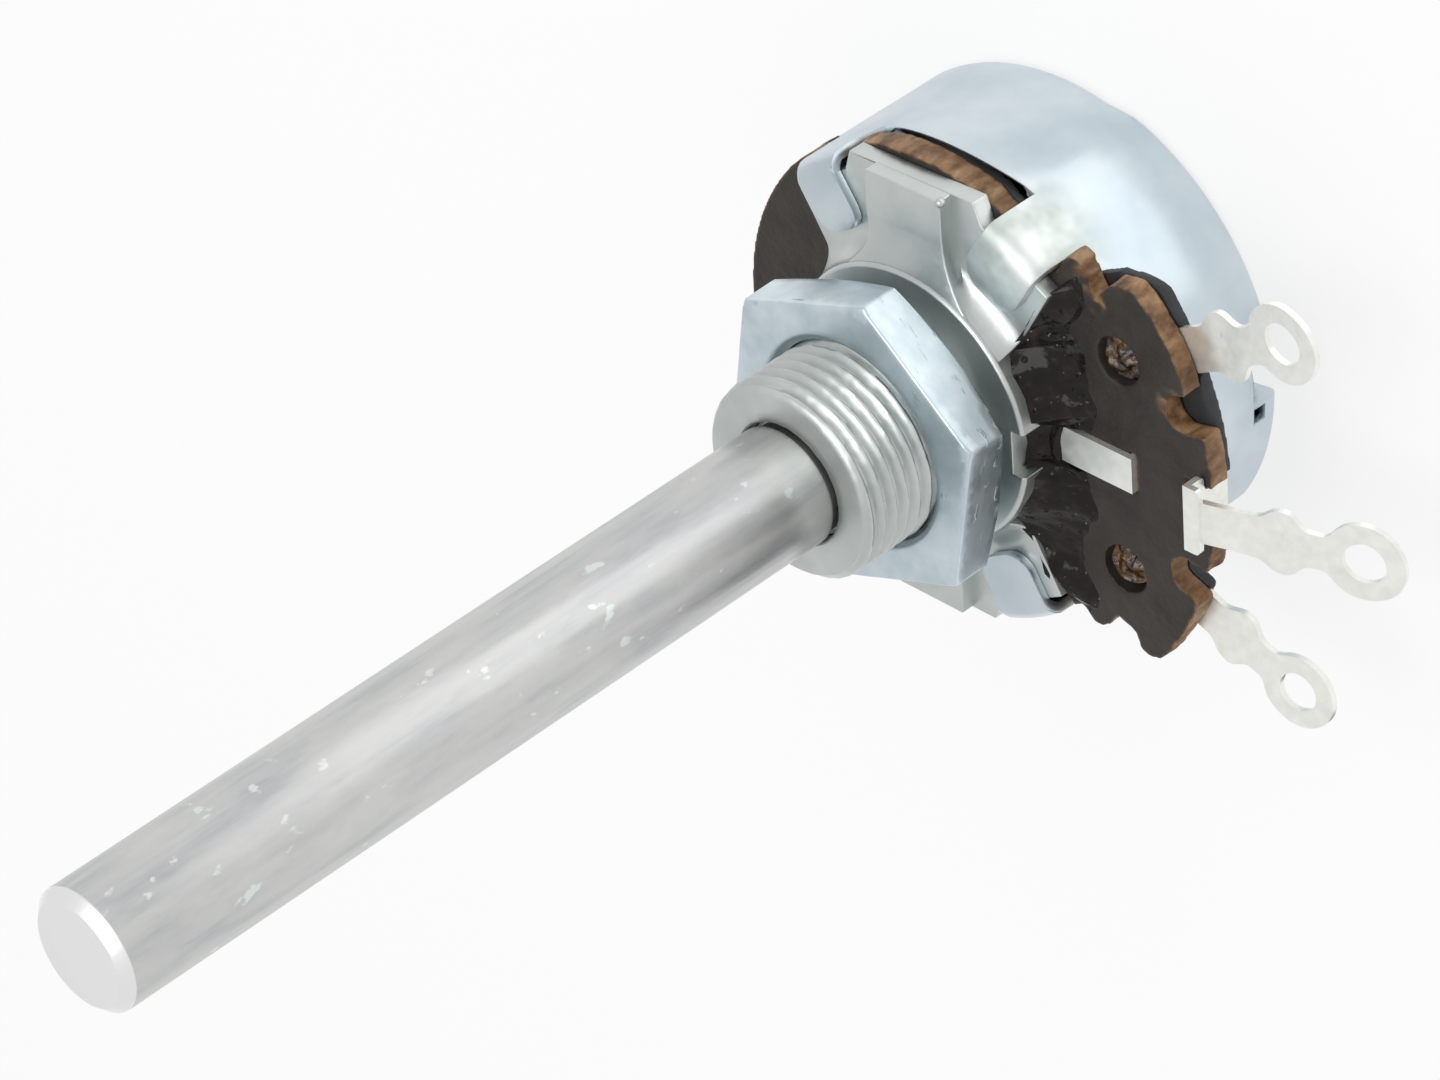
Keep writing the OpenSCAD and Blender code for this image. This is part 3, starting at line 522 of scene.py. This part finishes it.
# %% A grid to wrap round the axis
def wrapped(name, columns, rows, place):
    """A grid whose point (u, v), both 0 to 1, goes to place(u, v) in mm; doubles are merged."""
    only(NODES["shaft"])
    bpy.ops.object.select_all(action="DESELECT")
    bpy.ops.mesh.primitive_grid_add(x_subdivisions=columns, y_subdivisions=rows, size=1)
    made = bpy.context.object
    made.name = name
    for vertex in made.data.vertices:
        vertex.co = Vector(place(vertex.co.x + 0.5, vertex.co.y + 0.5)) * MM
    only(made, "EDIT")
    bpy.ops.mesh.select_all(action="SELECT")
    bpy.ops.mesh.remove_doubles(threshold=0.0005 * MM)
    bpy.ops.mesh.normals_make_consistent(inside=False)
    bpy.ops.object.mode_set(mode="OBJECT")
    return made

# %% The bush's section: wall, rounded mouth and bore, as radius and height
BUSH_R, BORE_R, BUSH_TOP = 5.0, 3.05, 8.0
MOUTH_H, MOUTH_IN, BORE_RIM = 0.55, 0.5, 0.12
FOOT_Z = CUT_Z + 0.1
wall_h = BUSH_TOP - MOUTH_H - FOOT_Z
bore_h = BUSH_TOP - BORE_RIM - FOOT_Z
wall_steps, mouth_steps, bore_steps = 124, 6, 8
bush_path = [(BUSH_R, FOOT_Z + wall_h * i / wall_steps) for i in range(wall_steps)]
for i in range(mouth_steps + 1):
    turn = math.pi / 2 * i / mouth_steps
    bush_path.append((BUSH_R - MOUTH_IN * (1 - math.cos(turn)),
                      BUSH_TOP - MOUTH_H * (1 - math.sin(turn))))
bush_path += [(3.7, BUSH_TOP), (BORE_R + 0.13, BUSH_TOP), (BORE_R + 0.05, BUSH_TOP - 0.04)]
bush_path += [(BORE_R, BUSH_TOP - BORE_RIM - bore_h * i / bore_steps)
              for i in range(bore_steps + 1)]
print("the bush's section has", len(bush_path), "points")

# %% The threaded bush
PITCH, THREAD_DEPTH, THREAD_FROM = 0.75, 0.42, 1.2
CREST_FLAT, ROOT_FLAT, NICK_DEPTH, BUSH_COLUMNS = 0.06, 0.06, 0.06, 192


def thread_cut(turn, z):
    """Depth of the thread at a turn from 0 to 1 and a height."""
    phase = (z / PITCH - turn) % 1.0
    away = abs(2 * phase - 1)
    straight = min(max((away - CREST_FLAT) / (1 - CREST_FLAT - ROOT_FLAT), 0.0), 1.0)
    run_in = eased(z, THREAD_FROM, THREAD_FROM + 0.5)
    return THREAD_DEPTH * run_in * (0.6 * straight + 0.4 * eased(away, 0.0, 1.0))


def bush_point(u, v):
    """A point of the bush: the section at v, turned by u, with the thread and its nicks cut in."""
    r, z = bush_path[round(v * (len(bush_path) - 1))]
    angle = 2 * math.pi * u
    on_wall = r > BORE_R + 0.4 and FOOT_Z < z < BUSH_TOP - 0.02
    if on_wall:
        cut = thread_cut(u, z)
        crest = 1 - eased(cut / THREAD_DEPTH, 0.0, 0.35)
        crest *= eased(z, THREAD_FROM, THREAD_FROM + 0.4)
        around = Vector((r * math.cos(angle), r * math.sin(angle), z))
        cut += NICK_DEPTH * crest * max(0.0, waves(around, 0.5, 6.0))
        r = min(r, BUSH_R - cut)
    return r * math.cos(angle), r * math.sin(angle), z


def bush_wear(place, normal):
    """Step along the normal that makes the thread a little uneven."""
    return normal * 0.02 * waves(place, 0.45, 3.0) * eased(place.z, 1.0, 1.6)


bush = wrapped("bush_with_thread", BUSH_COLUMNS, len(bush_path) - 1, bush_point)
moved(bush, bush_wear)

# %% Join the two and bridge their open rims
joined_to(casting, bush)
only(casting, "EDIT")
bpy.ops.mesh.select_mode(type="EDGE")
OUTER_RIMS, BORE_RIMS = (4.5, 5.5), (2.5, 3.5)
for low, high in (OUTER_RIMS, BORE_RIMS):
    bpy.ops.mesh.select_all(action="DESELECT")
    mesh = bmesh.from_edit_mesh(casting.data)
    for edge in mesh.edges:
        on_rim = all(low < v.co.xy.length / MM < high for v in edge.verts)
        edge.select = edge.is_boundary and on_rim
    bmesh.update_edit_mesh(casting.data)
    bpy.ops.mesh.bridge_edge_loops()
bpy.ops.mesh.select_all(action="SELECT")
bpy.ops.mesh.normals_make_consistent(inside=False)
mesh = bmesh.from_edit_mesh(casting.data)
print("open edges left:", sum(edge.is_boundary for edge in mesh.edges))
dressed(casting, "housing", "cast_zinc", cast_zinc, "bush_plate", smooth=60)

# %% [markdown]
# ## The nut
# A hex nut is punched from bar and tapped, so its rims are rolled over a little and its flats carry
# the marks of a spanner. A dent could be modelled where each mark is. Noise along the normals gives
# many at once, so a copy of the drawn nut is bevelled, split into small faces and moved by noise.

# %% Splitting long edges
def fine(thing, longest_mm):
    """Splits edges until none is longer than longest_mm."""
    most_rounds = 8
    for _ in range(most_rounds):
        mesh = bmesh.new()
        mesh.from_mesh(thing.data)
        bmesh.ops.triangulate(mesh, faces=[f for f in mesh.faces if len(f.verts) > 4])
        long_ones = [e for e in mesh.edges if e.calc_length() > longest_mm * MM]
        bmesh.ops.subdivide_edges(mesh, edges=long_ones, cuts=1, use_grid_fill=False)
        bmesh.ops.triangulate(mesh, faces=[f for f in mesh.faces if len(f.verts) > 4])
        mesh.to_mesh(thing.data)
        mesh.free()
        if not long_ones:
            break

# %% Hex nut
nut = copied("mounting_nut", "hex_nut")
rounded(nut, width_mm=0.12, segments=3)
fine(nut, longest_mm=0.6)
moved(nut, lambda place, normal: normal * 0.02 * waves(place, 1.6, 5.0))
dressed(nut, "nut", "nut_zinc", nut_zinc, "mounting_nut")

# %% [markdown]
# ## The can
# The can is drawn from thin sheet, so it is never truly round. On the side of the lugs its back
# stands out a little, where the stop was pressed in. The folded tabs are hammered down on the plate,
# and their edges are soft. In the opening between the first two tabs the rim is arched. Splitting
# a wall into small flat faces leaves their middles short of the true radius, so those that are nearly
# on it are pushed out to it, and the reflections stay smooth.

# %% How the can differs from a true cylinder
CAN_R, CAN_INNER_R = 11.9, 11.4
BULGE, DOME = 0.38, 0.05
TAB_ANGLE = 30  # how many degrees the tabs lie off the X axis
RIM_ARCH, RIM_SLOPE, ARCH_HALF_ANGLE = 0.3, 0.35, 19.5


def on_true_radius(place, normal, r, radial):
    """Step that puts a point that is nearly on a wall's true radius right on it."""
    shift = Vector((0, 0, 0))
    if abs(normal.z) < 0.25 and place.z < -1.9:
        for true_r in (CAN_R, CAN_INNER_R):
            if abs(r - true_r) < 0.03:
                shift += radial * (true_r - r)
    return shift


def bulge(place, r, direction, radial):
    """Step outwards, low on the side of the lugs."""
    if r <= 9.0 or place.z >= -4.0:
        return Vector((0, 0, 0))
    low = eased(-place.z, 4.5, 9.0)
    around = eased(direction, -135, -120) * (1 - eased(direction, -22, -12))
    return radial * BULGE * low * around * eased(r, 9.0, 11.3)


def lifted(place, r, direction):
    """How much higher a point of a tab or of the arched rim lies."""
    lift = 0.0
    if place.z > -1.6:
        off_middle = abs(abs(abs(direction) - 90) - (90 - TAB_ANGLE)) / 360 * 2 * math.pi * r
        across = 1 - eased(off_middle, 0.2, 1.7)
        lift += DOME * (across * eased(r, 8.2, 9.4) * (1 - eased(r, 10.0, 11.6)))
    if r > 11.2 and -4.25 < place.z < -3.8 and abs(direction) < ARCH_HALF_ANGLE:
        lift += RIM_ARCH * (1 - (direction / ARCH_HALF_ANGLE) ** 2)
        lift -= RIM_SLOPE * (1 - eased(r, CAN_INNER_R, CAN_R))
    return lift


def can_shift(place, normal):
    """All the steps of a point of the can, with a slow waviness of the sheet."""
    r, direction = polar_of(place)
    radial = Vector((place.x, place.y, 0)) / max(r, 0.001)
    shift = on_true_radius(place, normal, r, radial) + bulge(place, r, direction, radial)
    shift.z += lifted(place, r, direction)
    return shift + set_round(place, -4.6, -2.3) + radial * 0.03 * waves(place, 4.0, 7.0)

# %% Drawn can
can = copied("can", "drawn_can")
rounded(can, width_mm=0.09, segments=2, angle=40)
fine(can, longest_mm=0.7)
moved(can, can_shift)
dressed(can, "housing", "can_zinc", can_zinc, "can", smooth=35)

# %% [markdown]
# ## The boards
# Both boards are punched out of phenolic paper laminate. A punch tears the layers, so the cut sides
# are brown, ragged and fibrous, while the pressed faces stay dark. Each vertex gets a number, called
# worn, that says how much of the raw stock shows there, and the finish reads it. The border between
# the two is blurred over the mesh and frayed with noise, so that it doesn't follow the mesh. The
# boards also sit a little off the centre of the can, which leaves a gap on one side.

# %% How much raw stock shows
GLUE_AT = ((5.64, -10.57), (-5.64, -10.57))


def away_from(place, x, y):
    """Distance from x, y in the board's plane."""
    return math.hypot(place.x - x, place.y - y)


def blurred(thing, values, times):
    """One value for each vertex, averaged with its neighbours that many times."""
    for _ in range(times):
        totals, counts = list(values), [1] * len(values)
        for edge in thing.data.edges:
            first, second = edge.vertices
            totals[first] += values[second]
            totals[second] += values[first]
            counts[first] += 1
            counts[second] += 1
        values = [total / count for total, count in zip(totals, counts)]
    return values


def cut_side(vertex):
    """1 on a side that the punch cut, 0 on a pressed face and in the holes for the glue."""
    place = vertex.co / MM
    near_hole = min(away_from(place, x, y) for x, y in GLUE_AT)
    return eased(1 - abs(vertex.normal.z), 0.12, 0.55) * eased(near_hole, 1.3, 1.7)


def torn_at(place, chips):
    """1 in the middle of a chip and 0 outside them all; a chip is x, y and radius."""
    nearness = [1 - eased(away_from(place, x, y), 0.35 * radius, radius) for x, y, radius in chips]
    return max([0.0] + nearness)


def mark_worn(made, chips):
    """Writes the attribute that the finish reads."""
    sides = blurred(made, [cut_side(vertex) for vertex in made.data.vertices], 3)
    worn = made.data.attributes.new("worn", "FLOAT", "POINT")
    for index, vertex in enumerate(made.data.vertices):
        place = vertex.co / MM
        rough = 0.5 + 0.5 * waves(place, 0.5, 4.0)
        frayed = eased(sides[index] + 0.3 * waves(place, 0.6, 7.0), 0.25, 0.6)
        chipped = torn_at(place, chips) * eased(rough, 0.25, 0.6)
        worn.data[index].value = min(1.0, max(frayed, chipped))

# %% Ragged board edges
CHIP_DEPTH, OUT_AT_BACK, RIM_DROP = 0.12, 0.15, 0.25


def ragged(place, normal, ragged_mm, chips):
    """Step that bites into the sides; its noise is drawn out through the board's thickness."""
    side = 1 - abs(normal.z)
    outer = 0.4 + 0.6 * eased(-place.y, 6.0, 8.0)
    columns = Vector((place.x, place.y, place.z * 0.5))
    tear = 0.5 * waves(columns, 0.45, 1.0) + 0.5 * waves(place, 1.1, 2.0)
    bite = normal * ragged_mm * (tear - 0.25) * side * outer
    chip = normal * CHIP_DEPTH * torn_at(place, chips) * (0.6 + waves(place, 0.4, 9.0))
    return bite - chip


def off_centre(place, gap_mm, least_gap_mm):
    """Step of the round rim: away from the can's wall, and down in the opening of the can."""
    r, direction = polar_of(place)
    share = eased(r, 10.5, 11.2) * eased(place.y, -7.4, -5.5)
    inwards = gap_mm * (1 - eased(direction, -15, 30)) * eased(direction, -90, -60)
    least = least_gap_mm * eased(direction, -70, -50) * (1 - eased(direction, 24, 40))
    inwards = max(inwards, least)
    inwards -= OUT_AT_BACK * eased(direction, 60, 95) * (1 - eased(direction, 140, 165))
    in_opening = 1 - eased(abs(direction), 14, 20)
    down = RIM_DROP * eased(r, 10.8, 11.2) * eased(-place.z, 2.9, 3.4) * in_opening
    return Vector((-place.x, -place.y, 0)) / max(r, 1) * inwards * share - Vector((0, 0, down))


def even(thing, voxel_mm, smooth_steps):
    """Rebuilds a closed piece from small even faces, so that its sides can be torn."""
    applied(thing, "REMESH", mode="VOXEL", voxel_size=voxel_mm * MM)
    applied(thing, "SMOOTH", factor=0.5, iterations=smooth_steps)


def worn_board(node, name, voxel_mm, ragged_mm, gap_mm, least_gap_mm, chips=()):
    """A copy of a board with ragged sides, off its centre by gap_mm."""
    made = copied(node, name)
    even(made, voxel_mm, smooth_steps=2)
    mark_worn(made, chips)
    moved(made, lambda place, normal: ragged(place, normal, ragged_mm, chips))
    moved(made, lambda place, normal: off_centre(place, gap_mm, least_gap_mm))
    return made

# %% The two boards
CHIPS = [(4.6, -13.9, 1.1), (9.4, -9.0, 0.9), (-4.6, -14.2, 0.8), (8.3, -9.6, 0.7)]
front_board = worn_board("terminal_board", "front_board", voxel_mm=0.13, ragged_mm=0.16,
                         gap_mm=0.42, least_gap_mm=0.0, chips=CHIPS)
dressed(front_board, "housing", "phenolic_board", board_face, "terminal_board", smooth=60)
rear_board = worn_board("element_board", "element_board_worn", voxel_mm=0.15, ragged_mm=0.08,
                        gap_mm=0.6, least_gap_mm=0.45)
dressed(rear_board, "housing", "element_laminate", element_face, "element_board", smooth=60)

# %% [markdown]
# ## The solder lugs
# The lugs are punched from thin strip and tinned. Punching rolls one rim over and leaves a small
# burr on the other, bending leaves soft folds, and tin rounds all of it off. So each lug gets round
# corners and soft rims, is split into small faces, and is bent a little out of its plane. Two of the
# real lugs are pushed a little aside, so their eyes lean towards +X.

# %% Soft bends in the lugs
LUG_T = 0.3
BEND, RIM = 0.10, 0.035
LEAN_FROM_R, LEAN_OVER = 13.0, 10.6


def soft_corners(thing, width_mm):
    """Rounds the corners of a strip's outline, which are edges as long as the strip is thick."""
    def is_corner(edge):
        across = abs(edge.calc_length() / MM - LUG_T) < 0.01
        return across and math.hypot(*edge.verts[0].co.xy) > 15 * MM

    weighted_bevel(thing, is_corner, angle=20, width=width_mm * MM, segments=4)


def lug_shift(seed, sideways_mm):
    """The step of a lug's points: its blade is bent and its rim uneven, and its eye leans."""
    def shift(place, normal):
        r, _ = polar_of(place)
        above = Vector((place.x, place.y, 0))
        blade = eased(r, 16.0, 18.0)
        bend = BEND * waves(above, 2.6, seed)
        rim = RIM * waves(above, 0.9, seed + 2)
        flat = Vector((normal.x, normal.y, 0))
        lean = Vector((sideways_mm * max(0.0, (r - LEAN_FROM_R) / LEAN_OVER), 0, 0))
        return blade * (Vector((0, 0, bend + 0.3 * rim)) + flat * rim) + lean
    return shift

# %% The three lugs
# Each lug's seed of noise, and how far its eye leans towards +X
LUGS = {"terminal_right": (1.0, 0.35), "terminal_centre": (2.3, 0.0), "terminal_left": (3.6, 0.75)}
for node, (seed, sideways_mm) in LUGS.items():
    lug = copied(node, node.replace("terminal", "lug"))
    soft_corners(lug, width_mm=0.45)
    rounded(lug, width_mm=0.075, segments=2, angle=50)
    fine(lug, longest_mm=0.35)
    moved(lug, lug_shift(seed, sideways_mm))
    dressed(lug, "housing", "tinned_lug", tinned, node)

# %% [markdown]
# ## The lacquer and the glue
# The lacquer was run into the corner between board and boss with a brush. It climbs the boss, fills
# its notch, covers the inner half of the centre strap and sets in wrinkles and lumps. It could be
# sculpted by hand. Here its section is swept round the boss, with a noise that changes its width and
# height, so that it stays against the metal. The drops of glue in the two holes are domes with the
# same kind of lumps.

# %% Where the lacquer lies
BOARD_Z = -2.3
# One side's stations: inner x, y against the metal, outer x, y on the board, and how high it climbs
LACQUER_SIDE = [
    (8.8, -7.95, 9.3, -8.5, 0.05), (8.2, -7.35, 8.8, -8.9, 0.7), (7.2, -6.75, 7.8, -8.8, 1.05),
    (6.0, -6.15, 6.6, -8.3, 1.0), (4.6, -5.35, 5.6, -8.3, 1.35), (3.85, -5.7, 4.7, -8.7, 1.7),
    (2.9, -6.25, 3.5, -9.1, 1.85), (1.5, -6.7, 2.1, -9.2, 1.8), (1.1, -6.4, 1.25, -8.8, 1.5),
    (0.9, -6.3, 0.95, -7.6, 1.4), (0, -6.2, 0, -7.5, 1.4),
]
LACQUER = LACQUER_SIDE + [(-a, b, -c, d, e) for a, b, c, d, e in reversed(LACQUER_SIDE[:-1])]


def lacquer_station(u):
    """What lies at u, from 0 to 1 along the bead, between the two nearest stations."""
    at = u * (len(LACQUER) - 1)
    low = min(int(at), len(LACQUER) - 2)
    return [a + (b - a) * (at - low) for a, b in zip(LACQUER[low], LACQUER[low + 1])]


def lacquer_section(u):
    """The section at u: inner x, y, outer x, y, and the height of its crest over the board."""
    in_x, in_y, out_x, out_y, climb = lacquer_station(u)
    along = Vector((in_x, in_y, 0))
    wider = 1 + 0.22 * waves(along, 1.6, 1.0) + 0.08 * waves(along, 0.6, 8.0)
    crest = climb * (1 + 0.15 * waves(along, 1.3, 5.0))
    return in_x, in_y, in_x + (out_x - in_x) * wider, in_y + (out_y - in_y) * wider, crest

# %% Sealing lacquer
# Shares of v: the top of the bead takes the first, and the underside takes the second of what is left
TOP_SHARE, UNDER_SHARE = 0.72, 0.7
STRAP_COVER, UNDER_DEPTH = 0.42, 0.15


def lacquer_top(u, t, x, y, in_x, crest):
    """Height of the bead's top at t, which is 0 at the metal and 1 on the board."""
    taper = min(1.0, math.sin(math.pi * u) * 5) ** 0.5
    over_strap = STRAP_COVER * (1 - eased(abs(in_x), 1.0, 1.5)) + 0.1 * taper
    top = max(BOARD_Z + crest * (1 - t) ** 1.35, BOARD_Z + over_strap * (1 - t ** 8))
    place = Vector((x, y, top))
    lumps = 0.13 * waves(place, 1.1, 3.0) + 0.025 * waves(place, 0.5, 6.0)
    return top + lumps * taper * (1 - t ** 6)


def lacquer_point(u, v):
    """Out over the top of the bead, back below it, and up the metal to where it started."""
    in_x, in_y, out_x, out_y, crest = lacquer_section(u)
    back = (v - TOP_SHARE) / (1 - TOP_SHARE)
    t = min(1.0, v / TOP_SHARE) if v <= TOP_SHARE else max(0.0, 1 - back / UNDER_SHARE)
    x, y = in_x + (out_x - in_x) * t, in_y + (out_y - in_y) * t
    if v <= TOP_SHARE:
        return x, y, lacquer_top(u, t, x, y, in_x, crest)
    low = BOARD_Z - UNDER_DEPTH * math.sin(math.pi / 2 * min(1.0, back * 4))
    wall = max(0.0, (back - UNDER_SHARE) / (1 - UNDER_SHARE))
    return x, y, low + (BOARD_Z + crest - low) * wall


bead = wrapped("sealing_lacquer_bead", 320, 50, lacquer_point)
dressed(bead, "housing", "black_lacquer", lacquer, "sealing_lacquer", smooth=75)

# %% Glue in the holes
GLUE_R, GLUE_LOW, GLUE_LEVEL = 1.19, -3.49, -3.13
GLUE_TILT, GLUE_LUMP = 0.22, 0.3
DOME_SHARE = 0.7


def glue_point(at, seed):
    """The place(u, v) of a drop: a lumpy, tilted top, then its side and its flat bottom."""
    def place(u, v):
        angle = 2 * math.pi * u
        if v < DOME_SHARE:
            t = v / DOME_SHARE
            x, y = at[0] + GLUE_R * t * math.cos(angle), at[1] + GLUE_R * t * math.sin(angle)
            lump = waves(Vector((x, y, 0)), 0.7, seed) + 0.5 * waves(Vector((x, y, 0)), 0.3, seed)
            tilt = GLUE_TILT * ((y - at[1]) - (x - at[0]))
            return x, y, GLUE_LEVEL + tilt + GLUE_LUMP * lump * (1 - t ** 4)
        t = (v - DOME_SHARE) / (1 - DOME_SHARE)
        r = GLUE_R * (1 if t < 0.5 else max(0.0, 2 - 2 * t))
        rim = GLUE_LEVEL + GLUE_TILT * GLUE_R * (math.sin(angle) - math.cos(angle))
        z = rim + (GLUE_LOW - rim) * min(1.0, 2 * t)
        return at[0] + r * math.cos(angle), at[1] + r * math.sin(angle), z
    return place


drops = [wrapped("glue_drop", 40, 20, glue_point(at, seed)) for seed, at in enumerate(GLUE_AT, 2)]
joined_to(drops[0], drops[1])
drops[0].name = "glue_in_holes"
dressed(drops[0], "housing", "amber_glue", amber, "terminal_glue", smooth=75)

# %% [markdown]
# ## The shaft
# The shaft is plain bar with a turned chamfer, so its drawn shape is nearly enough. It could be made
# anew from a turned profile, but a small bevel on its copy already gives the rims of the chamfer and
# of the relief the thin bright lines that a lathe leaves.

# %% Shaft
spindle = copied("shaft", "turned_shaft")
rounded(spindle, width_mm=0.05, segments=2)
dressed(spindle, "rotor", "shaft_metal", shaft_metal, "shaft")

# %% [markdown]
# ## Finishes on the frame's own pieces
# A piece whose drawn shape is right keeps it, and only takes its finish here.

# %% Give every node its finish
FINISH = {
    "thrust_washer": fibre_stock, "retaining_clip": steel, "resistance_track": carbon,
    "collector_ring": brass, "rivet_right": brass, "rivet_left": brass, "rotor_disc": rotor_stock,
    "wiper_spring": bronze, "track_button": carbon, "collector_button": carbon,
    "spring_rivets": steel, "stop_plate": steel,
}
for name, finish in FINISH.items():
    NODES[name].data.materials.clear()
    NODES[name].data.materials.append(finish)
print(len(FINISH), "nodes have a finish")

# %% [markdown]
# ## Floor and light
# The photograph has a white ground and soft light from all around. A pale floor and a pale sky give
# that, and one wide lamp from above adds the bright lines on rounded edges. Upright metal shows the
# floor, not the sky, because the camera looks down. So the bright stripe along the shaft and the can
# comes from a lit card that lies on the floor, and the dark flat of the nut from a grey one.

# %% Floor
FLOOR_Z = cad_box[0].z - 0.02 * MM
FLOOR_SIZE, FLOOR_GLOW = 1.6, 0.75
bpy.ops.object.select_all(action="DESELECT")
bpy.ops.mesh.primitive_plane_add(size=FLOOR_SIZE, location=(0, 0, FLOOR_Z))
floor = bpy.context.object
floor.name = "floor"
floor_paint, tree, shader, place = material("white_paper_floor", Roughness=0.9,
                                            Specular_IOR_Level=0.0)
feed(shader, {"Base Color": "#F4F4F4"})
rays = add(tree, "LightPath", {}).node.outputs
seen = add(tree, "Math", {0: rays["Is Camera Ray"], 1: rays["Is Glossy Ray"]}, operation="MAXIMUM")
seen = add(tree, "Math", {0: seen, 1: rays["Is Transmission Ray"]}, operation="MAXIMUM")
share = add(tree, "Math", {0: seen, 1: FLOOR_GLOW}, operation="MULTIPLY")
glow = add(tree, "Emission", {"Color": "#FFFFFF", "Strength": 1.0})
joined = add(tree, "MixShader", {0: share, 1: shader.outputs[0], 2: glow})
feed(tree.nodes["Material Output"], {"Surface": joined})
floor.data.materials.append(floor_paint)
print("floor at", round(FLOOR_Z / MM, 2), "mm")

# %% World
SKY = 0.75
world = bpy.data.worlds.new("studio")
bpy.context.scene.world = world
world.use_nodes = True
tree = world.node_tree
tree.nodes.clear()
camera_ray = add(tree, "LightPath", {}, "Is Camera Ray")
sky = add(tree, "Background", {"Color": "#FFFFFF", "Strength": SKY})
shown = add(tree, "Background", {"Color": "#FFFFFF", "Strength": 1.0})
joined = add(tree, "MixShader", {0: camera_ray, 1: sky, 2: shown})
feed(tree.nodes.new("ShaderNodeOutputWorld"), {"Surface": joined})
print("the sky lights the part with strength", SKY)

# %% Lamp
def lamp(name, at, watts, size):
    """A square soft lamp that faces the part."""
    data = bpy.data.lights.new(name, "AREA")
    data.energy, data.size = watts, size
    made = bpy.data.objects.new(name, data)
    bpy.context.scene.collection.objects.link(made)
    made.location = Vector(at)
    made.rotation_euler = (-Vector(at)).to_track_quat("-Z", "Y").to_euler()
    print("lamp", name, "gives", watts, "W")


lamp("key", at=(0.20, -0.07, 0.45), watts=0.82, size=0.30)

# %% Cards on the floor, which only reflections show
def card(name, corners_mm, hex_colour, glow_strength=0.0):
    """A flat card just above the floor; the camera doesn't see it and it casts no shadow."""
    mesh = bpy.data.meshes.new(name)
    height = FLOOR_Z + 0.3 * MM
    corners = [(x * MM, y * MM, height) for x, y in corners_mm]
    mesh.from_pydata(corners, [], [range(len(corners))])
    made = bpy.data.objects.new(name, mesh)
    bpy.context.scene.collection.objects.link(made)
    made.visible_camera = made.visible_shadow = made.visible_diffuse = False
    paint, _, shader, _ = material(name + "_paper", Roughness=0.9)
    feed(shader, {"Base Color": hex_colour, "Emission Color": "#FFFFFF",
                  "Emission Strength": glow_strength})
    mesh.materials.append(paint)


card("lit_card", [(8, -17.5), (75, -98), (118, 14), (18.9, -3.4)], "#000000", glow_strength=1.45)
card("grey_card", [(-12, -20), (-26, -26), (-32, -12), (-19, -9)], "#606060")

# %% Show colours as they are written
bpy.context.scene.view_settings.view_transform = "Standard"
